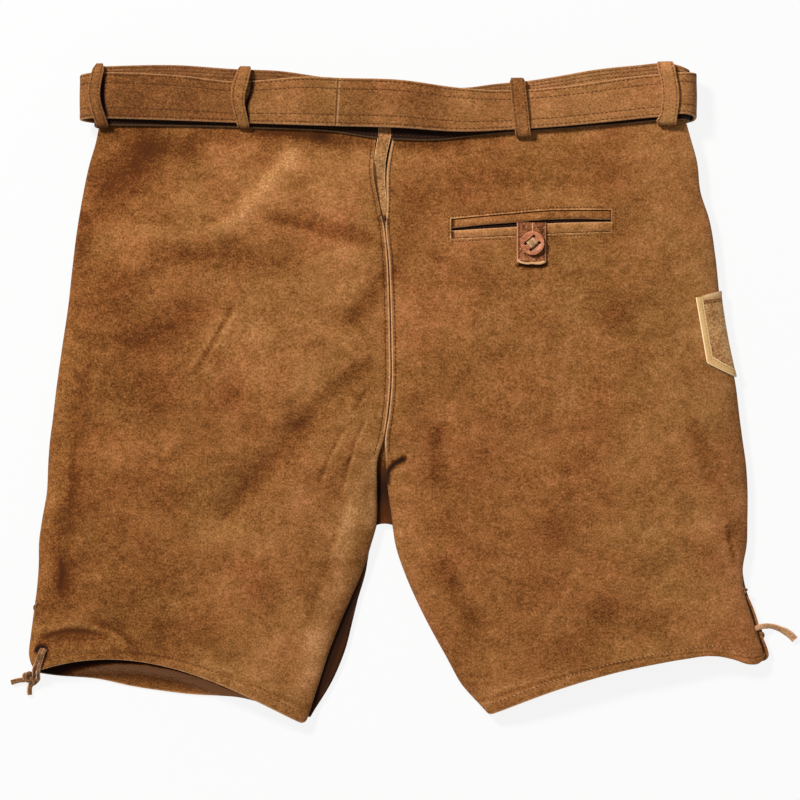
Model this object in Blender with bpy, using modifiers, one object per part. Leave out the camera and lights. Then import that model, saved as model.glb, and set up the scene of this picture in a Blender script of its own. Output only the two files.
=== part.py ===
"""Short suede lederhosen, laid flat on their front with the back up and the waist towards +Y.

Every table is in millimetres. X runs across the garment, Y from the hems up to the waist,
and Z up from the surface that the garment lies on.
"""

import math
from collections import namedtuple

import bmesh
import bpy
from mathutils import Matrix, Vector
from mathutils.bvhtree import BVHTree

MM = 0.001

# ---------------------------------------------------------------- driving dimensions
SUEDE = 1.5          # thickness of the panels
BAND = 2.4           # waistband, two layers
BELT = 2.5           # belt, two layers
LOOP = 1.3           # belt loops
GAP = 0.3            # clearance between pieces
BUCKLE_SPACE = 7.9   # room under the front waistband for the belt and its buckle
HOLLOW = 5.6         # space between the front and the back at the waist
CENTRE_X = -10.4     # centre-front and centre-back line
COLUMNS = 22         # points across a back panel
ARC_STEPS = 6        # steps round the turned edge of a front panel
MIDDLE_STEPS = 4     # steps across its flat middle
EDGE_ZONE = 11.0     # width of the front panel's edge that holds that turn
SIDE_SLACK = 0.5     # extra room at the side seams, where the facets of two panels cross

# heights at the waist, counted up from the surface
BELT_FRONT_Z = BUCKLE_SPACE - GAP - BELT / 2
BAND_FRONT_Z = BUCKLE_SPACE + BAND / 2
FRONT_WAIST_Z = BUCKLE_SPACE + BAND + GAP
BACK_WAIST_Z = FRONT_WAIST_Z + SUEDE + HOLLOW + SUEDE
BAND_BACK_Z = BACK_WAIST_Z + GAP + BAND / 2
BELT_BACK_Z = BAND_BACK_Z + BAND / 2 + GAP + BELT / 2
LOOP_BACK_Z = BELT_BACK_Z + BELT / 2 + GAP + LOOP / 2
LOOP_FRONT_Z = BELT_FRONT_Z - BELT / 2 - GAP - LOOP / 2
WAIST_SEAM_Z = (FRONT_WAIST_Z + BACK_WAIST_Z) / 2

# ---------------------------------------------------------------- section tables
# One row is one line across a back panel, from its inner edge (centre seam, then inseam)
# to its side seam. bow: how far the middle of the line stands up towards the waist.
# crown: height of the panel's middle. in_z: height of its inner edge. side_z: of its side.
# lap: how far the front panel shows past the back panel's inner edge.
# rise: height of the front panel's underside.
Section = namedtuple("Section", "in_x in_y out_x out_y bow crown in_z side_z lap rise")

LEFT = [
    Section(-15.6, 201.4, -230.0, 211.4, 2.0, BACK_WAIST_Z, BACK_WAIST_Z, WAIST_SEAM_Z, 0.0, FRONT_WAIST_Z),
    Section(-16.9, 193.0, -230.6, 203.4, 2.0, BACK_WAIST_Z, BACK_WAIST_Z, WAIST_SEAM_Z, 0.0, FRONT_WAIST_Z),
    Section(-17.6, 186.4, -232.4, 194.0, 1.5, 20.6, 20.0, 13.6, 0.0, FRONT_WAIST_Z),
    Section(-18.6, 169.8, -237.9, 174.4, 0.0, 22.0, 20.8, 11.5, 0.0, 7.6),
    Section(-14.4, 145.1, -243.3, 147.5, 0.0, 24.0, 21.6, 9.5, 0.0, 5.0),
    Section(-11.2, 130.5, -246.4, 128.2, 0.0, 25.0, 21.8, 8.3, 0.0, 3.6),
    Section(-8.0, 101.3, -250.2, 97.4, 0.0, 26.0, 22.4, 7.2, 0.0, 2.4),
    Section(-6.7, 70.5, -253.3, 66.6, 0.0, 26.4, 22.8, 6.5, 0.0, 1.9),
    Section(-5.9, 35.8, -258.7, 32.0, 0.0, 26.6, 23.0, 6.2, 0.0, 1.9),
    Section(-5.9, 5.0, -263.3, -0.4, 0.0, 26.4, 22.8, 6.0, 0.0, 1.9),
    Section(-8.1, -18.1, -265.7, -21.9, 0.0, 26.0, 22.2, 5.8, 0.0, 1.4),
    Section(-11.2, -37.3, -268.0, -39.7, 0.0, 25.6, 21.0, 5.6, 0.0, 0.5),
    Section(-15.4, -51.2, -269.1, -54.3, 0.0, 25.4, 18.2, 5.5, 0.0, 0.0),
    Section(-16.2, -75.8, -270.3, -77.4, 0.0, 25.0, 12.0, 5.5, 0.0, 0.0),
    Section(-16.6, -100.5, -274.1, -99.7, 0.0, 24.6, 7.6, 5.5, 0.0, 0.0),
    Section(-20.8, -118.2, -276.4, -115.9, 0.0, 24.2, 6.6, 5.5, 0.0, 0.0),
    Section(-27.7, -139.0, -277.2, -133.6, 1.5, 23.6, 6.6, 5.5, 3.0, 0.0),
    Section(-36.2, -159.0, -278.7, -151.3, 4.0, 23.0, 6.6, 5.5, 6.0, 0.0),
    Section(-44.7, -179.0, -281.1, -169.8, 8.0, 22.4, 6.6, 5.5, 9.5, 0.0),
    Section(-53.9, -202.9, -283.4, -187.5, 14.0, 22.0, 6.6, 5.5, 13.0, 0.0),
    Section(-61.6, -227.5, -284.9, -202.9, 19.5, 21.8, 6.6, 5.5, 11.5, 0.0),
    Section(-68.5, -253.7, -281.1, -216.8, 23.0, 21.6, 6.6, 5.5, 8.0, 0.0),
]

RIGHT = [
    Section(-5.4, 200.6, 220.6, 217.5, -3.0, BACK_WAIST_Z, BACK_WAIST_Z, WAIST_SEAM_Z, 0.0, FRONT_WAIST_Z),
    Section(-5.2, 192.4, 221.6, 209.4, -4.0, BACK_WAIST_Z, BACK_WAIST_Z, WAIST_SEAM_Z, 0.0, FRONT_WAIST_Z),
    Section(-5.4, 185.0, 224.6, 198.0, -2.5, 20.6, 20.0, 13.6, 0.0, FRONT_WAIST_Z),
    Section(-6.0, 169.8, 229.5, 178.3, -1.0, 22.0, 20.8, 11.5, 0.0, 7.6),
    Section(-6.9, 147.5, 231.8, 153.6, 0.0, 24.0, 21.6, 9.5, 0.0, 5.0),
    Section(-9.7, 130.5, 237.9, 133.6, 0.0, 25.0, 21.8, 8.3, 0.0, 3.6),
    Section(-7.0, 101.3, 243.3, 105.1, 0.0, 26.0, 22.4, 7.2, 0.0, 2.4),
    Section(-5.7, 70.5, 246.9, 72.0, 0.0, 26.4, 22.8, 6.5, 0.0, 1.9),
    Section(-4.9, 35.8, 252.0, 39.7, 0.0, 26.6, 23.0, 6.2, 0.0, 1.9),
    Section(-4.9, 5.0, 259.1, 5.0, 0.0, 26.4, 22.8, 6.0, 0.0, 1.9),
    Section(-7.0, -18.1, 261.8, -20.4, 0.0, 26.0, 22.2, 5.8, 0.0, 1.4),
    Section(-9.9, -37.3, 264.1, -39.7, 0.0, 25.6, 21.0, 5.6, 0.0, 0.5),
    Section(-9.6, -51.2, 266.4, -54.3, 0.0, 25.4, 17.4, 5.5, 0.0, 0.0),
    Section(-8.1, -72.8, 268.0, -75.8, 0.0, 25.0, 12.0, 5.5, 0.0, 0.0),
    Section(-4.6, -98.9, 268.0, -98.9, 0.0, 24.6, 7.6, 5.5, 0.0, 0.0),
    Section(-1.5, -120.5, 267.2, -118.2, 0.0, 24.2, 6.6, 5.5, 0.0, 0.0),
    Section(6.2, -142.8, 265.3, -137.4, 1.0, 23.6, 6.6, 5.5, 0.0, 0.0),
    Section(13.9, -160.5, 267.2, -152.8, 2.5, 23.0, 6.6, 5.5, 0.0, 0.0),
    Section(23.9, -180.6, 272.2, -169.8, 5.0, 22.4, 6.6, 5.5, 0.0, 0.0),
    Section(36.2, -202.9, 277.2, -187.5, 8.5, 22.0, 6.6, 5.5, 0.0, 0.0),
    Section(50.8, -228.3, 281.4, -200.6, 12.0, 21.8, 6.6, 5.5, 0.0, 0.0),
    Section(67.0, -248.3, 284.9, -209.1, 15.5, 21.6, 6.6, 5.5, 0.0, 0.0),
]

# the row where the centre-front seam ends and the two legs part
CROTCH_ROW = 14

# the largest folds: a soft trough from one point to another, with its depth and half width
Fold = namedtuple("Fold", "x0 y0 x1 y1 depth width")
FOLDS = [
    Fold(-24.0, 20.0, -78.0, -32.0, 1.6, 11.0),
    Fold(-78.0, -32.0, -130.0, -90.0, 2.2, 12.0),
    Fold(-12.0, 86.0, -40.0, 52.0, 2.0, 11.0),
    Fold(-26.0, 120.0, -78.0, 132.0, 1.6, 11.0),
    Fold(-86.0, 108.0, -162.0, 108.0, 1.4, 13.0),
    Fold(-268.0, -188.0, -215.0, -181.0, 3.0, 10.0),
    Fold(30.0, -32.0, 27.0, -80.0, 1.8, 10.0),
    Fold(36.0, -134.0, 58.0, -172.0, 1.5, 13.0),
]

# how far the front hem is pulled in from the back hem, and its share of the back's bow
FrontHem = namedtuple("FrontHem", "bow_share drop")
LEFT_FRONT_HEM = FrontHem(0.10, 1.5)
RIGHT_FRONT_HEM = FrontHem(0.85, 5.0)

# ---------------------------------------------------------------- collection and materials
for old in list(bpy.data.objects):
    bpy.data.objects.remove(old)
lederhosen = bpy.data.collections.new("lederhosen")
cutters = bpy.data.collections.new("cutters")
bpy.context.scene.collection.children.link(lederhosen)
bpy.context.scene.collection.children.link(cutters)

Finish = namedtuple("Finish", "colour roughness metallic")
FINISHES = {
    "suede": Finish((0.27, 0.105, 0.028), 0.95, 0.0),
    "pale_suede": Finish((0.42, 0.21, 0.075), 0.95, 0.0),
    "binding": Finish((0.72, 0.46, 0.22), 0.8, 0.0),
    "tab": Finish((0.26, 0.09, 0.035), 0.8, 0.0),
    "horn": Finish((0.58, 0.22, 0.09), 0.45, 0.0),
    "lace": Finish((0.30, 0.14, 0.065), 0.8, 0.0),
    "brass": Finish((0.60, 0.45, 0.20), 0.35, 1.0),
}


def make_material(name, finish):
    """A Principled material of one finish."""
    material = bpy.data.materials.new(name)
    material.use_nodes = True
    shader = material.node_tree.nodes["Principled BSDF"]
    shader.inputs["Base Color"].default_value = (*finish.colour, 1.0)
    shader.inputs["Roughness"].default_value = finish.roughness
    shader.inputs["Metallic"].default_value = finish.metallic
    material.diffuse_color = (*finish.colour, 1.0)
    return material


MATERIALS = {name: make_material(name, finish) for name, finish in FINISHES.items()}


# ---------------------------------------------------------------- making sheets
def add_object(name, mesh, finish, collection=lederhosen):
    """A named object of a mesh, in a collection."""
    obj = bpy.data.objects.new(name, mesh)
    collection.objects.link(obj)
    if finish:
        mesh.materials.append(MATERIALS[finish])
    return obj


def grid_mesh(name, rows, up):
    """A grid primitive whose points take the places in rows (millimetres), facing along up."""
    bm = bmesh.new()
    bmesh.ops.create_grid(bm, x_segments=len(rows[0]) - 1, y_segments=len(rows) - 1, size=1.0)
    places = [point for row in rows for point in row]
    for vert, place in zip(bm.verts, places):
        vert.co = Vector(place) * MM
    bm.normal_update()
    middle = sum((face.normal * face.calc_area() for face in bm.faces), Vector())
    if middle.dot(Vector(up)) < 0:
        bmesh.ops.reverse_faces(bm, faces=bm.faces)
    mesh = bpy.data.meshes.new(name)
    bm.to_mesh(mesh)
    bm.free()
    mesh.shade_smooth()
    mesh.set_sharp_from_angle(angle=math.radians(40))
    return mesh


def sheet(name, rows, thickness, finish, up=(0, 0, 1), offset=-1.0):
    """A piece of leather: an open surface with a wall. Offset -1 thickens it below its face."""
    obj = add_object(name, grid_mesh(name, rows, up), finish)
    wall = obj.modifiers.new("wall", "SOLIDIFY")
    wall.thickness = thickness * MM
    wall.offset = offset
    wall.use_even_offset = True
    wall.use_quality_normals = True
    return obj


def lerp(a, b, t):
    """The value a share t of the way from a to b."""
    return a + (b - a) * t


def along(table, x):
    """The value at x on a table of (x, value) rows, in straight steps."""
    for (x0, y0), (x1, y1) in zip(table, table[1:]):
        if x <= x1 or (x1, y1) == table[-1]:
            return lerp(y0, y1, (x - x0) / (x1 - x0))


# ---------------------------------------------------------------- making bars, flat pieces and cuts
def add_curve(name, curve, finish):
    """A curve object with its material."""
    obj = bpy.data.objects.new(name, curve)
    lederhosen.objects.link(obj)
    curve.materials.append(MATERIALS[finish])
    return obj


def tube(name, route, radius, finish, cyclic=False):
    """A round bar or strand along points in millimetres."""
    curve = bpy.data.curves.new(name, "CURVE")
    curve.dimensions = "3D"
    curve.bevel_depth = radius * MM
    curve.bevel_resolution = 2
    curve.use_fill_caps = not cyclic
    spline = curve.splines.new("POLY")
    spline.points.add(len(route) - 1)
    spline.use_cyclic_u = cyclic
    for point, place in zip(spline.points, route):
        point.co = (*(Vector(place) * MM), 1.0)
    return add_curve(name, curve, finish)


def ring(radius, count, x=0.0, y=0.0):
    """Points round a circle."""
    turns = [2 * math.pi * i / count for i in range(count)]
    return [(x + radius * math.cos(a), y + radius * math.sin(a)) for a in turns]


def flat_outline(name, loops, thickness, finish):
    """A flat piece from closed outlines in millimetres, as a mesh of its own thickness."""
    curve = bpy.data.curves.new(name, "CURVE")
    curve.dimensions = "2D"
    curve.fill_mode = "BOTH"
    curve.extrude = thickness * MM / 2
    for loop in loops:
        spline = curve.splines.new("POLY")
        spline.points.add(len(loop) - 1)
        spline.use_cyclic_u = True
        for point, (x, y) in zip(spline.points, loop):
            point.co = (x * MM, y * MM, 0.0, 1.0)
    return add_curve(name, curve, finish)


def meshed(obj):
    """A curve object turned into a mesh object, with its caps closed."""
    bpy.context.view_layer.update()
    name = obj.name
    evaluated = obj.evaluated_get(bpy.context.evaluated_depsgraph_get())
    mesh = bpy.data.meshes.new_from_object(evaluated)
    bm = bmesh.new()
    bm.from_mesh(mesh)
    bmesh.ops.remove_doubles(bm, verts=bm.verts, dist=0.01 * MM)
    bm.to_mesh(mesh)
    bm.free()
    place = obj.matrix_world.copy()
    bpy.data.objects.remove(obj)
    solid = bpy.data.objects.new(name, mesh)
    lederhosen.objects.link(solid)
    solid.matrix_world = place
    return solid


def prism(name, outline, low, high):
    """An upright prism on an outline given anticlockwise, in millimetres."""
    bm = bmesh.new()
    face = bm.faces.new([bm.verts.new(Vector((x, y, low)) * MM) for x, y in outline])
    top = bmesh.ops.extrude_face_region(bm, geom=[face])
    raised = [item for item in top["geom"] if isinstance(item, bmesh.types.BMVert)]
    bmesh.ops.translate(bm, verts=raised, vec=(0, 0, (high - low) * MM))
    bmesh.ops.recalc_face_normals(bm, faces=bm.faces)
    mesh = bpy.data.meshes.new(name)
    bm.to_mesh(mesh)
    bm.free()
    return mesh


def cutter(name, mesh):
    """A hidden body that cuts a piece."""
    obj = add_object(name, mesh, None, cutters)
    obj.hide_render = True
    obj.display_type = "WIRE"
    return obj


def cut(obj, tool):
    """Take the cutter's shape out of a piece."""
    boolean = obj.modifiers.new("cut", "BOOLEAN")
    boolean.operation = "DIFFERENCE"
    boolean.object = tool


# ---------------------------------------------------------------- panels
def fold_depth(x, y):
    """How deep the folds press the back panels in at a place."""
    depth = 0.0
    for fold in FOLDS:
        run = Vector((fold.x1 - fold.x0, fold.y1 - fold.y0))
        away = Vector((x - fold.x0, y - fold.y0))
        share = min(1.0, max(0.0, away.dot(run) / run.length_squared))
        off = (away - run * share).length / fold.width
        depth += fold.depth * math.exp(-off * off)
    return depth


def across_share(column):
    """Where a column lies across a panel, 0 inner to 1 side, closer together at both edges."""
    return 0.5 - 0.5 * math.cos(math.pi * column / COLUMNS)


def hem_bow(share):
    """The shape of a bowed line, 0 at both ends and fullest a little towards the side."""
    skewed = share ** 1.2
    return 4.0 * skewed * (1.0 - skewed)


def side_edge(row):
    """The height at which a back panel's side starts, so that its wall clears the front's."""
    first_run = across_share(1) * abs(row.out_x - row.in_x)
    first_rise = (row.crown - row.side_z) * dome_share(1.0 - 2.0 * across_share(1))
    wall_drop = SUEDE * first_run / math.hypot(first_run, first_rise)
    return row.side_z + GAP + SIDE_SLACK + wall_drop


def dome_share(side):
    """The height of the dome at a place across it, -1 and 1 at its edges."""
    return math.sqrt(1.0 - min(1.0, abs(side)) ** 2.6)


def back_point(row, share):
    """A point of a back panel's outer face."""
    x = lerp(row.in_x, row.out_x, share)
    y = lerp(row.in_y, row.out_y, share) + row.bow * hem_bow(share)
    side = 2.0 * share - 1.0
    edge = side_edge(row) if side > 0 else row.in_z
    dome = dome_share(side)
    z = edge + (row.crown - edge) * dome
    return (x, y, z - fold_depth(x, y) * dome)


def back_rows(table):
    """All the points of a back panel's outer face, waist first."""
    return [[back_point(row, across_share(c)) for c in range(COLUMNS + 1)] for row in table]


def edge_curve(radius, lap):
    """The turned edge of a front panel: (distance in from the edge, height), flat part first.

    With no lap the edge turns up through a quarter circle. With a lap it turns right over.
    """
    if lap > 0:
        tight = radius / 2
        points = [(EDGE_ZONE + lap, 0.0), (tight, 0.0)]
        for step in range(1, 7):
            angle = math.pi * step / 6
            points.append((tight * (1 - math.sin(angle)), tight * (1 - math.cos(angle))))
        points.append((max(lap, tight + 0.5), radius))
    else:
        points = [(EDGE_ZONE, 0.0), (radius, 0.0)]
        for step in range(1, 5):
            angle = math.pi / 2 * step / 4
            points.append((radius * (1 - math.sin(angle)), radius * (1 - math.cos(angle))))
    lengths = [0.0]
    for (d0, z0), (d1, z1) in zip(points, points[1:]):
        lengths.append(lengths[-1] + math.hypot(d1 - d0, z1 - z0))
    far = list(zip(lengths, points))
    evened = []
    for step in range(ARC_STEPS + 1):
        at = lengths[-1] * step / ARC_STEPS
        for (s0, p0), (s1, p1) in zip(far, far[1:]):
            if at <= s1 or s1 == lengths[-1]:
                t = (at - s0) / (s1 - s0) if s1 > s0 else 0.0
                evened.append((lerp(p0[0], p1[0], t), lerp(p0[1], p1[1], t)))
                break
    return evened


def front_rows(table, hem, towards_side):
    """The points of a front panel's lower face, from its inner edge to its side seam."""
    rows = []
    for number, row in enumerate(table):
        in_leg = max(0, number - CROTCH_ROW) / (len(table) - 1 - CROTCH_ROW)
        if number <= CROTCH_ROW:
            in_x = CENTRE_X + towards_side * GAP / 2
            curl = [0.4, 1.0, 2.0][max(0, number - CROTCH_ROW + 2)] if number > CROTCH_ROW - 3 else 0.0
        else:
            in_x = row.in_x - towards_side * row.lap
            curl = row.side_z - row.rise
        width = abs(row.out_x - in_x)
        inner = edge_curve(curl, row.lap) if curl else [
            (EDGE_ZONE * (1 - step / ARC_STEPS), 0.0) for step in range(ARC_STEPS + 1)]
        outer = edge_curve(row.side_z - row.rise, 0.0)
        places = [(distance, height) for distance, height in reversed(inner)]
        first, last = places[-1][0], width - outer[0][0]
        places += [(lerp(first, last, step / MIDDLE_STEPS), 0.0) for step in range(1, MIDDLE_STEPS)]
        places += [(width - distance, height) for distance, height in outer]
        line = []
        for distance, height in places:
            share = distance / width
            x = in_x + towards_side * distance
            y = lerp(row.in_y, row.out_y, share) + row.bow * hem.bow_share * hem_bow(min(1.0, share))
            line.append((x, y + hem.drop * in_leg, row.rise + height))
        rows.append(line)
    return rows


LEFT_BACK = back_rows(LEFT)
RIGHT_BACK = back_rows(RIGHT)
back_left = sheet("back_left", LEFT_BACK, SUEDE, "suede")
back_right = sheet("back_right", RIGHT_BACK, SUEDE, "suede")
LEFT_FRONT = front_rows(LEFT, LEFT_FRONT_HEM, -1)
RIGHT_FRONT = front_rows(RIGHT, RIGHT_FRONT_HEM, 1)
sheet("front_left", LEFT_FRONT, SUEDE, "suede", up=(0, 0, -1))
sheet("front_right", RIGHT_FRONT, SUEDE, "suede", up=(0, 0, -1))


def surface_tree(rows):
    """The faces of a panel's outer face, for finding the height of what lies on it."""
    points = [Vector(point) for row in rows for point in row]
    wide = len(rows[0])
    faces = []
    for r in range(len(rows) - 1):
        for c in range(wide - 1):
            a = r * wide + c
            faces += [(a, a + 1, a + wide + 1), (a, a + wide + 1, a + wide)]
    return BVHTree.FromPolygons(points, faces)


TREES = {"left": surface_tree(LEFT_BACK), "right": surface_tree(RIGHT_BACK)}
FRONT_TREES = {"left": surface_tree(LEFT_FRONT), "right": surface_tree(RIGHT_FRONT)}


def drop(tree, x, y, lift=0.0):
    """The point of a panel's outer face under (x, y), moved up by lift."""
    place, _, _, _ = tree.ray_cast(Vector((x, y, 100.0)), Vector((0, 0, -1)))
    return (x, y, place.z + lift)


def rest_height(x, y):
    """The height of whichever back panel lies at (x, y)."""
    for tree in TREES.values():
        place, _, _, _ = tree.ray_cast(Vector((x, y, 100.0)), Vector((0, 0, -1)))
        if place:
            return place.z
    return BACK_WAIST_Z


def front_underside(x, y):
    """The height of the lower face of whichever front panel lies at (x, y)."""
    for tree in FRONT_TREES.values():
        place, _, _, _ = tree.ray_cast(Vector((x, y, -100.0)), Vector((0, 0, 1)))
        if place:
            return place.z
    return FRONT_WAIST_Z


# ---------------------------------------------------------------- waistband
BAND_TOP = [(-233, 250.4), (-168, 251.2), (-126, 248.3), (-91, 246.8), (-56, 242.0), (1.5, 238.6),
            (55, 234.2), (71, 236.4), (105, 239.9), (127, 243.5), (149, 247.4), (182, 251.0),
            (209, 252.6), (226, 248.5)]
BAND_LOW = [(-233, 205.2), (-114, 202.7), (-45, 199.2), (-15, 195.0), (1.5, 195.0), (25, 194.2),
            (63, 197.3), (90, 200.4), (155, 205.8), (199, 210.4), (226, 211.8)]
FRONT_DROP = 3.0     # the front of the waist lies this much lower than the back
SLIT_LEFT, SLIT_RIGHT = -15.6, -5.4
BAND_SIDE = {"left": -232.9, "right": 223.7}


def strap_path(x_start, x_side, x_end, z_start, z_end, step=30.0):
    """The middle line (x, z, share) of a strap from x_start, round the side and back to x_end.

    share runs from 0 on the first level to 1 on the last, through the bend.
    """
    radius = abs(z_end - z_start) / 2
    towards = 1 if x_side > x_start else -1
    turn_x = x_side - towards * radius
    count = max(1, round(abs(turn_x - x_start) / step))
    path = [(lerp(x_start, turn_x, i / count), z_start, 0.0) for i in range(count)]
    for i in range(7):
        angle = math.pi * i / 6
        path.append((turn_x + towards * radius * math.sin(angle),
                     lerp(z_start, z_end, (1 - math.cos(angle)) / 2), i / 6))
    count = max(1, round(abs(turn_x - x_end) / step))
    path += [(lerp(turn_x, x_end, i / count), z_end, 1.0) for i in range(1, count + 1)]
    return path


def band_rows(path, top, low):
    """The two edges of a strap that follows a path, with edge heights from two tables."""
    edges = []
    for table in (top, low):
        edges.append([(x, along(table, x) - FRONT_DROP * share, z) for x, z, share in path])
    return edges


def waistband(side, centre_back, centre_front):
    """Half of the waistband, from the centre-back slit round the side to the centre front."""
    path = strap_path(centre_back, BAND_SIDE[side], centre_front, BAND_BACK_Z, BAND_FRONT_Z)
    sheet("waistband_" + side, band_rows(path, BAND_TOP, BAND_LOW), BAND, "suede", offset=0.0)


waistband("left", SLIT_LEFT, CENTRE_X - GAP)
waistband("right", SLIT_RIGHT, CENTRE_X + GAP)

# ---------------------------------------------------------------- centre-back gore and crotch strip
# left and right edge of the gore, and how far it lies under the panels' faces
GORE = [
    (-14.9, -6.2, 222.0, 0.2),
    (-15.0, -6.4, 199.0, 0.2),
    (-15.0, -7.6, 190.0, -0.1),
    (-15.0, -8.6, 184.0, -0.8),
]
GORE_LOW = [(-21.0, -8.6, 172.0), (-21.5, -8.6, 158.0), (-20.0, -8.4, 145.0), (-17.0, -5.0, 131.0),
            (-15.0, -5.0, 122.0)]


def gore_rows():
    """The gore: level with the waistband at the top, then under both edges of the slit."""
    rows = []
    for left, right, y, rise in GORE:
        z = BAND_BACK_Z - BAND / 2 + SUEDE + rise
        rows.append([(x, y, z) for x in (left, (left + right) / 2, right)])
    for left, right, y in GORE_LOW:
        low = min(rest_height(x, y + dy) for x in (left, right) for dy in (-6, 0, 6))
        rows.append([(x, y, low - SUEDE - GAP - 0.5) for x in (left, (left + right) / 2, right)])
    return rows


sheet("centre_back_gore", gore_rows(), SUEDE, "pale_suede")

CROTCH_STRIP = [(-13.5, -6.5, -38.0), (-19.0, -5.0, -54.0), (-20.0, -4.0, -74.0), (-20.0, -2.0, -92.0)]


def inner_height(table, y):
    """The height of a back panel's inner edge at y."""
    return along(sorted((row.in_y, row.in_z) for row in table), y)


def crotch_rows():
    """The strip that closes the valley between the two back panels above the crotch."""
    rows = []
    for left, right, y in CROTCH_STRIP:
        low = min(inner_height(LEFT, y), inner_height(RIGHT, y)) - SUEDE - GAP - 0.3
        rows.append([(x, y, low) for x in (left, (left + right) / 2, right)])
    return rows


sheet("crotch_strip", crotch_rows(), SUEDE, "suede")

# ---------------------------------------------------------------- belt and buckle
BELT_TOP = [(-250, 244.0), (-226, 245.6), (-168, 243.2), (-126, 238.7), (-112, 239.1), (-68, 242.4),
            (-45, 241.4), (1.5, 239.9), (48, 233.7), (85, 231.7), (125, 234.5), (186, 242.9), (232, 246.8)]
BELT_LOW = [(-250, 208.5), (-226, 210.1), (-168, 208.3), (-126, 206.7), (-45, 204.0), (1.5, 202.7),
            (48, 199.8), (90, 202.1), (125, 205.6), (199, 211.4), (232, 210.6)]
BELT_LEFT, BELT_RIGHT = -244.0, 229.0   # middle of the strap where it goes round the sides
BELT_EYE_X = 22.0                       # where the strap meets the sleeve of the buckle
TIP_X = 118.0                           # end of the free tip, over the strap
TIP_Z = BELT / 2 + 0.2
CROSS_X = (-24.0, 4.0)                 # the tip passes from one level to the other between these


def belt_path():
    """The middle line of the belt: from the buckle round the back to the tip."""
    radius_x = strap_path(0.0, BELT_RIGHT, BELT_EYE_X, BELT_BACK_Z, BELT_FRONT_Z)
    first = list(reversed(radius_x))
    second = strap_path(0.0, BELT_LEFT, CROSS_X[0], BELT_BACK_Z, BELT_FRONT_Z)[1:]
    steps = 5
    cross = []
    for i in range(1, steps + 1):
        t = i / steps
        ease = t * t * (3 - 2 * t)
        cross.append((lerp(*CROSS_X, t), lerp(BELT_FRONT_Z, TIP_Z, ease), 1.0))
    count = 6
    tip = [(lerp(CROSS_X[1], TIP_X, i / count), TIP_Z, 1.0) for i in range(1, count + 1)]
    return first + second + cross + tip


belt = sheet("belt", band_rows(belt_path(), BELT_TOP, BELT_LOW), BELT, "suede", offset=0.0)


EYE_R, EYE_HOLE_R = 2.2, 1.25
BAR_R = 0.95
HEEL_X = BELT_EYE_X - GAP - 12.0
BELT_MID_Y = (along(BELT_TOP, 0) + along(BELT_LOW, 0)) / 2 - FRONT_DROP
EYE_WIDTH = 30.0
FRAME_X, FRAME_Y = 40.0, 41.4
FRAME_SLOPE = -0.05  # the frame lies square to the strap, which runs down a little here
EYE_Z = BUCKLE_SPACE - GAP - EYE_R


def belt_eye():
    """The stitched sleeve at the end of the strap, which holds the buckle's bar."""
    tail = BELT_EYE_X - GAP - HEEL_X
    reach = [math.radians(35 + 290 * i / 14) for i in range(15)]
    outline = [(EYE_R * math.cos(a), EYE_R * math.sin(a)) for a in reach]
    low = BELT_FRONT_Z - EYE_Z
    outline = [(tail, low + BELT / 2), (3.5, low + BELT / 2)] + outline + [
        (3.5, low - BELT / 2), (tail, low - BELT / 2)]
    obj = flat_outline("belt_eye", [outline, ring(EYE_HOLE_R, 12)], EYE_WIDTH, "suede")
    obj.rotation_euler = (math.pi / 2, 0, 0)
    obj.location = Vector((HEEL_X, BELT_MID_Y, EYE_Z)) * MM
    return meshed(obj)


def buckle_frame():
    """A plain square frame with its heel bar through the sleeve."""
    z_flat = BELT_FRONT_Z - BELT / 2 - GAP - BAR_R
    half = FRAME_Y / 2
    toe = HEEL_X - FRAME_X
    path = [(HEEL_X, 0, EYE_Z), (HEEL_X, half - 6, EYE_Z), (HEEL_X, half - 2, EYE_Z),
            (HEEL_X - 1.5, half, EYE_Z), (HEEL_X - 8, half, EYE_Z - 0.3),
            (HEEL_X - 18, half, z_flat), (toe + 5, half, z_flat), (toe + 1.5, half - 1.5, z_flat),
            (toe, half - 5, z_flat), (toe, 0, z_flat)]
    path += [(x, -y, z) for x, y, z in reversed(path[1:-1])]
    route = [(x, BELT_MID_Y + FRAME_SLOPE * x + y, z) for x, y, z in path]
    tube("buckle_frame", route, BAR_R, "brass", cyclic=True)


PRONG_R = 0.55
PRONG_HOLE = 5.0     # width of the hole in the tip, and of the notch in the sleeve
PRONG_X = -12.0      # where the prong comes out through the tip
HOLE_X = (-15.0, 2.5)     # ends of the long hole in the tip
NOTCH_X = (5.0, 15.0)     # ends of the notch in the sleeve


def prong_opening(piece, name, ends):
    """Cut the long opening that the prong passes through."""
    half = PRONG_HOLE / 2
    box = [(ends[0], BELT_MID_Y - half), (ends[1], BELT_MID_Y - half),
           (ends[1], BELT_MID_Y + half), (ends[0], BELT_MID_Y + half)]
    cut(piece, cutter(name, prism(name, box, -5.0, 9.5)))


def buckle_prong():
    """The prong: hooked round the heel bar, out through the tip and over the toe bar."""
    wrap = BAR_R + GAP + PRONG_R
    route = []
    for i in range(8):
        angle = math.radians(-60 + 240 * i / 7)
        route.append((HEEL_X + wrap * math.cos(angle), BELT_MID_Y, EYE_Z + wrap * math.sin(angle)))
    low = BELT_FRONT_Z - BELT / 2 - GAP - 2 * BAR_R - GAP - PRONG_R
    route += [(HEEL_X - 5.0, BELT_MID_Y, EYE_Z - 1.2), (PRONG_X + 5.0, BELT_MID_Y, low + 1.2),
              (PRONG_X, BELT_MID_Y, low + 0.3), (PRONG_X - 8.0, BELT_MID_Y, low),
              (HEEL_X - FRAME_X - 2.5, BELT_MID_Y, low)]
    tube("buckle_prong", route, PRONG_R, "brass")


prong_opening(belt, "tip_hole", HOLE_X)
prong_opening(belt_eye(), "sleeve_notch", NOTCH_X)
buckle_frame()
buckle_prong()

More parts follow.
